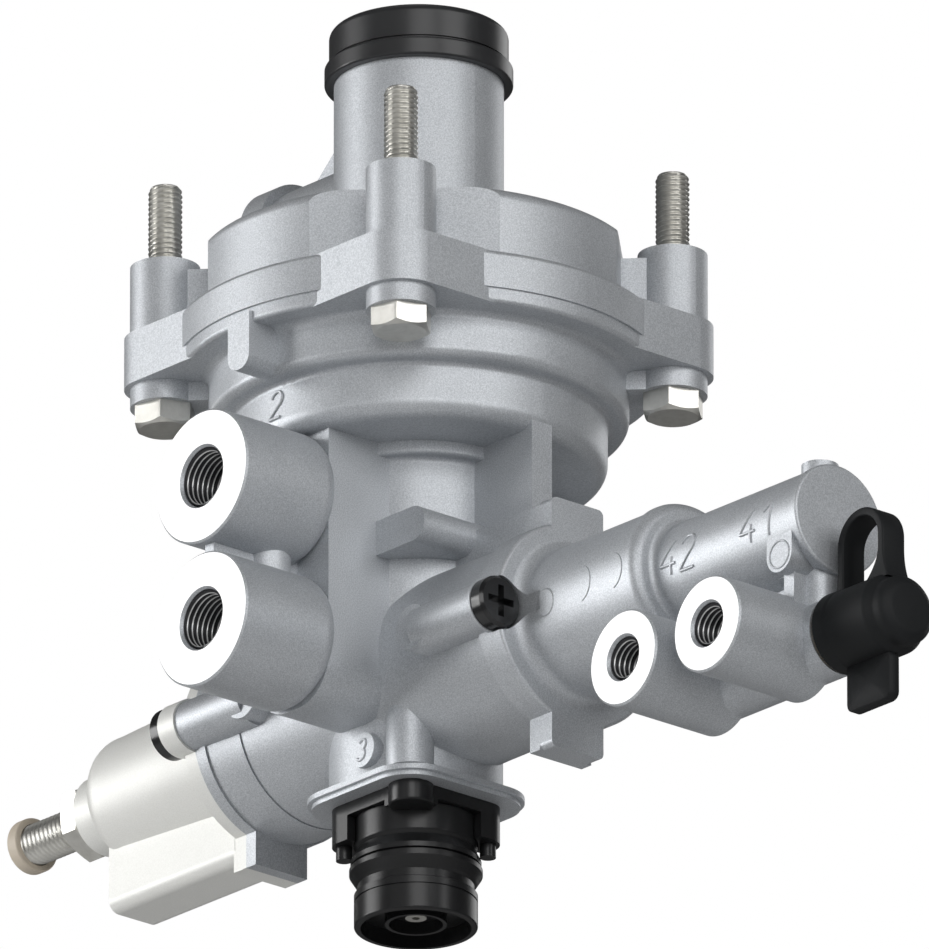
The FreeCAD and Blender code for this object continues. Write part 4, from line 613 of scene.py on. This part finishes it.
def arcPoints(centre, radius, begin, stop):
    # part of a circle, angles in degrees
    turn = np.radians(np.linspace(begin, stop, 15))
    return [(centre[0] + radius * math.cos(angle), centre[1] + radius * math.sin(angle)) for angle in turn]


digitStrokes = {
    "1": [[(0.12, 0.76), (0.44, 1.0), (0.44, 0.0)]],
    "2": [arcPoints((0.30, 0.71), 0.29, 165, -35) + [(0.0, 0.0), (0.62, 0.0)]],
    "3": [arcPoints((0.29, 0.75), 0.25, 150, -80) + arcPoints((0.29, 0.26), 0.27, 80, -150)],
    "4": [[(0.46, 1.0), (0.0, 0.30), (0.66, 0.30)], [(0.48, 0.52), (0.48, 0.0)]],
}


def beadSurface(name, points, outward, radius):
    # round bead: circles of the given radius stand square to the path, one at each point
    along = np.gradient(points, axis=0)
    along /= np.linalg.norm(along, axis=1, keepdims=True)
    aside = np.cross(outward, along)
    aside /= np.linalg.norm(aside, axis=1, keepdims=True)
    rise = np.cross(along, aside)
    turn = np.linspace(0, 2 * math.pi, 10, endpoint=False)
    rings = points[:, None, :] + radius * (np.cos(turn)[None, :, None] * aside[:, None, :]
                                           + np.sin(turn)[None, :, None] * rise[:, None, :])
    return ringSurface(name, rings)


def makeNumbers(shape, material):
    # each stroke is laid flat in shares of the height, then leans, and sinks to the surface:
    # y = -root(radius squared - height over the axis squared) on a cylinder
    pieces = []
    steps, axisHeight = shape["steps"], shape["axisHeight"]
    for name, (digits, height, middle, cylinder) in shape["texts"].items():
        half = (shape["advance"] * (len(digits) - 1) + shape["width"]) / 2
        for place, digit in enumerate(digits):
            for stroke in digitStrokes[digit]:
                rounded = roundCorners([(*point, shape["rounding"]) for point in stroke], 4)
                share = np.concatenate([[0], np.cumsum(np.linalg.norm(np.diff(rounded, axis=0), axis=1))])
                fine = np.linspace(0, share[-1], steps)
                across = np.interp(fine, share, rounded[:, 0]) + shape["advance"] * place - half
                rise = np.interp(fine, share, rounded[:, 1]) - 0.5
                x = middle[0] + height * (across + shape["slant"] * rise)
                z = middle[2] + height * rise
                if cylinder:
                    y = -np.sqrt(cylinder ** 2 - (z - axisHeight) ** 2)
                    outward = np.stack([x * 0, y / cylinder, (z - axisHeight) / cylinder], axis=1)
                else:
                    y = np.full(steps, middle[1])
                    outward = np.tile([0.0, -1.0, 0.0], (steps, 1))
                points = np.stack([x, y, z], axis=1) * mm - outward * shape["sunk"]
                pieces.append(beadSurface(name, points, outward, shape["bead"]))
    return joinPieces("portNumbers", pieces, material, "housing")


# flow marks and small cast details: thin beads on the first head cylinder, a ring on the pad, a
# sleeve round the passage between the two delivery ports, and plugs where a bellows passage
# comes out beside the web

castDetails = {
    # in millimetres: middle along X, radius, first and last angle
    "arcs": [(76.3, 4.4, -75, 75), (87.3, 4.4, -75, 75)],
    "cylinder": 17.9,
    "axisHeight": -106.4,
    "bead": 0.2 * mm,
    # middle (x, y, z) and radius
    "pad": (139.8, -12.0, -115.9, 3.3),
    "padBead": 0.28 * mm,
    # height, radius, rounding
    "sleeve": [(-93.5, 6.4), (-91.0, 5.6, 1.0), (-84.2, 5.6, 1.0), (-81.7, 6.4)],
    "sleevePlace": (0.0, -46.6, 0.0),
    "plugMiddle": 0.3,
    # middle, direction, first and last height along it, radius
    "plugs": [
        ((133.2, 0.0, -106.4), (0.0, 0.2326, 0.9726), -12.8, -10.5, 2.6),
        ((133.2, -3.0, -135.05), (0.0, 0.0, 1.0), 8.5, 11.4, 2.6),
        ((101.0, -3.0, -135.05), (0.0, 0.0, 1.0), 9.0, 12.4, 3.0),
    ],
}


def makeCastDetails(shape, material):
    pieces = []
    radius, axisHeight = shape["cylinder"], shape["axisHeight"]
    for x, arcRadius, begin, stop in shape["arcs"]:
        # the arc lies on the cylinder: y = -root(radius squared - height squared)
        flat = np.array(arcPoints((0, 0), arcRadius, begin, stop))
        y = -np.sqrt(radius ** 2 - flat[:, 1] ** 2)
        outward = np.stack([flat[:, 0] * 0, y, flat[:, 1]], axis=1) / radius
        points = np.stack([flat[:, 0] + x, y, flat[:, 1] + axisHeight], axis=1)
        pieces.append(beadSurface("flowMark", points * mm, outward, shape["bead"]))
    x, y, z, radius = shape["pad"]
    flat = np.array(arcPoints((x, z), radius, 0, 180) + arcPoints((x, z), radius, 192, 360))
    points = np.stack([flat[:, 0], flat[:, 0] * 0 + y, flat[:, 1]], axis=1)
    outward = np.tile([0.0, -1.0, 0.0], (len(points), 1))
    pieces.append(beadSurface("padRing", points * mm, outward, shape["padBead"]))
    place = inMetres([shape["sleevePlace"]])[0]
    pieces.append(turnedSurface("passageSleeve", inMetres(shape["sleeve"]), place, (0, 0, 1), 40))
    for middle, direction, first, last, radius in shape["plugs"]:
        middleRadius = shape["plugMiddle"]
        profile = inMetres([(first, middleRadius), (first, radius), (last, radius), (last, middleRadius)])
        pieces.append(turnedSurface("passagePlug", profile, inMetres([middle])[0], direction, 32))
    return joinPieces("castDetails", pieces, material, "housing")


# silencer holder: a round peg under the front post and a thin inner screen behind the hooks, both
# turned about upright axes

holderShape = {
    # height, radius, rounding, in millimetres
    "peg": [(-141.0, 0.3), (-141.0, 5.3, 0.5), (-136.1, 5.3), (-136.1, 0.3)],
    "pegPlace": (10.6, -11.5, 0.0),
    "screen": [(-139.2, 13.4), (-139.2, 14.4), (-145.6, 14.4, 1.0), (-147.2, 13.4)],
    "screenPlace": (-0.9, 0.0, 0.0),
}


def makeHolderDetails(shape, material):
    pieces = []
    for name in ("peg", "screen"):
        place = inMetres([shape[name + "Place"]])[0]
        pieces.append(turnedSurface(name, inMetres(shape[name]), place, (0, 0, 1), 64))
    return joinPieces("holderDetails", pieces, material, "housing")


# rubber dust cap: turned body with a domed end, a loop and a pull tab

dustCap = {
    # in millimetres
    "axis": (0, 0, -135.05),
    # height along X, radius, rounding: bore first, then the outside to the dome
    "profile": [(166.6, 0.3), (166.6, 8.3, 0.6), (148.0, 8.3, 0.3), (148.0, 9.9, 0.8), (151.6, 9.8, 1.0),
                (152.4, 9.6, 1.0), (165.6, 9.6, 1.8), (167.4, 8.2, 1.6), (170.2, 8.2, 2.2), (171.6, 6.0, 2.5),
                (171.9, 0.3)],
    "loopMiddle": (158.0, -115.5),
    "loopRadius": 6.9,
    "loopThick": 1.0,
    "loopHalf": 3.4,
    "loopEdge": 0.45,
    "loopFoot": -126.6,
    "legSteps": 22,
    "archSteps": 33,
    "flareStart": -118.5,
    "flareInward": 4.6,
    "flareOutward": 1.6,
    "flareFirstLeg": 0.5,
    "tabCorners": (151.0, 166.0, -155.6, -143.6),
    "tabRounding": 2.0,
    "tabHalf": 1.6,
    "tabBevel": 0.35,
}


def makeDustCap(shape, material):
    body = turnedSurface("capBody", inMetres(shape["profile"]), inMetres([shape["axis"]])[0], (1, 0, 0), 96)
    # loop: a rounded rectangle carried up one leg, round a half circle and down the other; the
    # legs thicken with the square of the way down
    middleX, middleZ = shape["loopMiddle"]
    foot, steps = shape["loopFoot"], shape["legSteps"]
    rise = np.linspace(foot, middleZ, steps)
    fall = rise[::-1]
    turn = np.linspace(math.pi, 0, shape["archSteps"])[1:-1]
    radius, thick = shape["loopRadius"], shape["loopThick"]
    inner, outer = radius - thick, radius + thick
    arch = np.stack([np.cos(turn), np.sin(turn)], axis=1)
    way = np.clip((shape["flareStart"] - fall) / (shape["flareStart"] - foot), 0, 1) ** 2
    insidePath = np.vstack([np.stack([np.full(steps, middleX - inner), rise], axis=1),
                            [middleX, middleZ] + inner * arch,
                            np.stack([middleX + inner - shape["flareInward"] * way, fall], axis=1)])
    outsidePath = np.vstack([np.stack([middleX - outer - shape["flareFirstLeg"] * way[::-1], rise], axis=1),
                             [middleX, middleZ] + outer * arch,
                             np.stack([middleX + outer + shape["flareOutward"] * way, fall], axis=1)])
    rings = []
    for near, far in zip(insidePath, outsidePath):
        section = roundedSection(np.linalg.norm(far - near) / 2, shape["loopHalf"], shape["loopEdge"])
        out = (far - near) / np.linalg.norm(far - near)
        spot = (near + far) / 2
        rings.append(np.stack([spot[0] + section[:, 0] * out[0], section[:, 1],
                               spot[1] + section[:, 0] * out[1]], axis=1))
    loop = ringSurface("capLoop", np.array(rings)[:, ::-1] * mm, smoothAngle=50.0)
    # tab: a rounded rectangle in X and Z, with its two faces set in by a bevel
    left, right, bottom, top = shape["tabCorners"]
    half, bevel = shape["tabHalf"], shape["tabBevel"]
    layers = []
    for depth, inset in ((-half, bevel), (-half + bevel, 0), (half - bevel, 0), (half, bevel)):
        outline = roundedSection((right - left) / 2 - inset, (top - bottom) / 2 - inset,
                                 shape["tabRounding"] - inset)
        layers.append(np.stack([outline[:, 0] + (left + right) / 2, np.full(len(outline), depth),
                                outline[:, 1] + (bottom + top) / 2], axis=1))
    tab = ringSurface("capTab", np.array(layers)[:, ::-1] * mm, smoothAngle=60.0)
    return joinPieces("rubberCap", [body, loop, tab], material, "dust_cap", ("dust_cap",))


# what each piece is made of

ejectorMarks = [
    # on the first head cylinder: across X and Z, middle, radius, seen from -Y
    ("x", "z", (0.0646, -0.1075), 0.0032, ("y", 0.0)),
]

castHousing = castMetal("castHousing", castLook, -0.06655)
castCover = castMetal("castCover", castLook)
castHead = castMetal("castHead", castLook, -0.02835, -0.12, ejectorMarks)
castLight = castMetal("castLight", lightLook)
zinc = zincSteel("zincPlate", zincLook)
gloss = blackPlastic("glossBlack", glossLook)
silencerPlastic = blackPlastic("silencerBlack", silencerLook)
screwBlack = blackPlastic("screwBlack", screwLook)
rubber = mattRubber("capRubber", rubberLook)
beige, brass, turnedMetal, wireSteel = [plainTone(name, *look) for name, look in plainLooks.items()]
threadDark = threadedHole("cutThread", threadLook)

paint(["main_housing"], castHousing)
paint(["upper_cover"], castCover)
paint(["bellows_head"], castHead)
paint(["spring_housing"], castLight)
paint(["cover_bolts", "lock_nut", "adjusting_screw", "spring_seat", "tappet", "cam_slide",
       "silencer_rivet"], zinc)
paint(["top_cap"], gloss)
paint(["silencer_holder", "silencer_body"], silencerPlastic)
paint(["bellows_head_screws", "spring_housing_screws"], screwBlack)
paint(["dust_cap", "silencer_flap", "silencer_seal", "bellows_head_seal", "spring_housing_seal",
       "cover_diaphragm", "control_piston_ring", "relay_piston_ring", "load_piston_large_ring",
       "load_piston_small_ring", "valve_tube"], rubber)
paint(["screw_end_cap"], beige)
paint(["test_fitting", "test_valve_pin", "valve_guide"], brass)
paint(["control_piston", "relay_piston", "load_piston_large", "load_piston_small"], turnedMetal)
paint(["pilot_spring", "valve_spring", "load_spring", "test_valve_spring"], wireSteel)
print("materials painted")

makeBolts(boltShape, zinc)
makeSpindle(spindleShape, zinc)
makePortThreads(portThreads, threadDark)
print("bolts, spindle and port threads made")
makeNumbers(portNumbers, castHead)
makeCastDetails(castDetails, castHead)
makeHolderDetails(holderShape, silencerPlastic)
makeDustCap(dustCap, rubber)
print("numbers, cast and holder details and dust cap made")

# floor, light and camera

stageLook = {
    "floorHeight": -1.1,
    "floorHalf": 3.0,
    "floorTone": (0.90, 0.90, 0.90),
    "floorCloud": (0.93, 0.93, 0.93),
    "floorGlow": 0.78,
    "worldStrength": 0.05,
}


def makeFloor(look):
    # a flat square seen only from above, so that a camera under it looks through
    half, height = look["floorHalf"], look["floorHeight"]
    mesh = bpy.data.meshes.new("floor")
    corners = [(-half, -half, height), (half, -half, height), (half, half, height), (-half, half, height)]
    mesh.from_pydata(corners, [], [(0, 1, 2, 3)])
    floor = bpy.data.objects.new("floor", mesh)
    bpy.context.scene.collection.objects.link(floor)
    material, shader, place = newMaterial("paleFloor")
    cloud = noise(place, 6.0, 2.0, 0.5)
    # the glow shows only to the camera, so the floor is pale and lights nothing
    seen = Wire(place.tree, place.node("ShaderNodeLightPath").outputs["Is Camera Ray"])
    connect(shader, Base_Color=cloud.mix(look["floorTone"], look["floorCloud"]), Roughness=0.85,
            Emission_Color=seen * look["floorGlow"], Emission_Strength=1.0)
    clear = place.node("ShaderNodeBsdfTransparent")
    below = place.node("ShaderNodeNewGeometry").outputs["Backfacing"]
    blend = place.node("ShaderNodeMixShader")
    tree = material.node_tree
    tree.links.new(below, blend.inputs[0])
    tree.links.new(shader.outputs[0], blend.inputs[1])
    tree.links.new(clear.outputs[0], blend.inputs[2])
    output = next(item for item in tree.nodes if item.type == "OUTPUT_MATERIAL")
    tree.links.new(blend.outputs[0], output.inputs["Surface"])
    mesh.materials.append(material)


def makeWorld(strength):
    # white to the camera, and a faint even light to everything else
    world = bpy.data.worlds.new("studio")
    bpy.context.scene.world = world
    world.use_nodes = True
    tree = world.node_tree
    rays = Wire(tree, None).node("ShaderNodeLightPath")
    seen = Wire(tree, rays.outputs["Is Camera Ray"])
    through = Wire(tree, rays.outputs["Is Transmission Ray"])
    white = seen.math("ADD", through, clamp=True)
    background = next(item for item in tree.nodes if item.type == "BACKGROUND")
    background.inputs["Color"].default_value = (1, 1, 1, 1)
    level = white * (1.0 - strength) + strength
    tree.links.new(level.socket, background.inputs["Strength"])


lampTarget = (0, 0, -0.06)
lamps = {
    # place, size, power
    "left": ((-1.2, -1.4, 0.1), (1.0, 1.0), 22.0),
    "front": ((0.5, -1.8, 0.1), (1.0, 1.0), 2.2),
    "side": ((1.8, 0.1, 0.35), (1.0, 1.0), 11.2),
    "sideFront": ((1.5, -1.1, 0.3), (1.0, 1.0), 12.2),
    "top": ((0.0, -0.1, 1.6), (1.0, 1.0), 1.2),
    "back": ((-0.3, 1.7, 0.5), (1.0, 1.0), 5.0),
}


def makeLamps(lamps, target):
    for name, (place, size, power) in lamps.items():
        data = bpy.data.lights.new(name, "AREA")
        data.shape = "RECTANGLE"
        data.size, data.size_y = size
        data.energy = power
        lamp = bpy.data.objects.new(name, data)
        lamp.location = place
        direction = Vector(target) - lamp.location
        lamp.rotation_euler = direction.to_track_quat("-Z", "Y").to_euler()
        bpy.context.scene.collection.objects.link(lamp)


cameraView = {
    "azimuth": math.radians(48.93),
    "elevation": math.radians(-20.99),
    "pixelsPerMetre": 4300.0,
    "imageHeight": 949.0,
    "imageWidth": 929.0,
    "originPixel": (418.7, 262.3),
    "lens": 1500.0,
    "sensor": 36.0,
    "farClip": 200.0,
    # how far in front of the origin the scale above holds
    "middleDepth": 0.0176,
}


def makeCamera(view):
    # a long lens stands in for the photograph's parallel view
    around, up = view["azimuth"], view["elevation"]
    right = Vector((math.cos(around), math.sin(around), 0))
    back = Vector((math.sin(around) * math.cos(up), -math.cos(around) * math.cos(up), math.sin(up)))
    above = back.cross(right)
    across = (view["imageWidth"] / 2 - view["originPixel"][0]) / view["pixelsPerMetre"]
    rise = (view["originPixel"][1] - view["imageHeight"] / 2) / view["pixelsPerMetre"]
    target = right * across + above * rise
    data = bpy.data.cameras.new("camera")
    data.lens = view["lens"]
    data.sensor_width = view["sensor"]
    data.clip_end = view["farClip"]
    pictureHeight = view["imageHeight"] / view["pixelsPerMetre"]
    distance = view["lens"] / view["sensor"] * pictureHeight + view["middleDepth"]
    camera = bpy.data.objects.new("camera", data)
    turn = Matrix((right, above, back)).transposed().to_4x4()
    camera.matrix_world = Matrix.Translation(target + back * distance) @ turn
    bpy.context.scene.collection.objects.link(camera)
    bpy.context.scene.camera = camera


makeFloor(stageLook)
makeWorld(stageLook["worldStrength"])
makeLamps(lamps, lampTarget)
makeCamera(cameraView)
bpy.context.scene.view_settings.view_transform = "Standard"
print("stage, lamps and camera made")
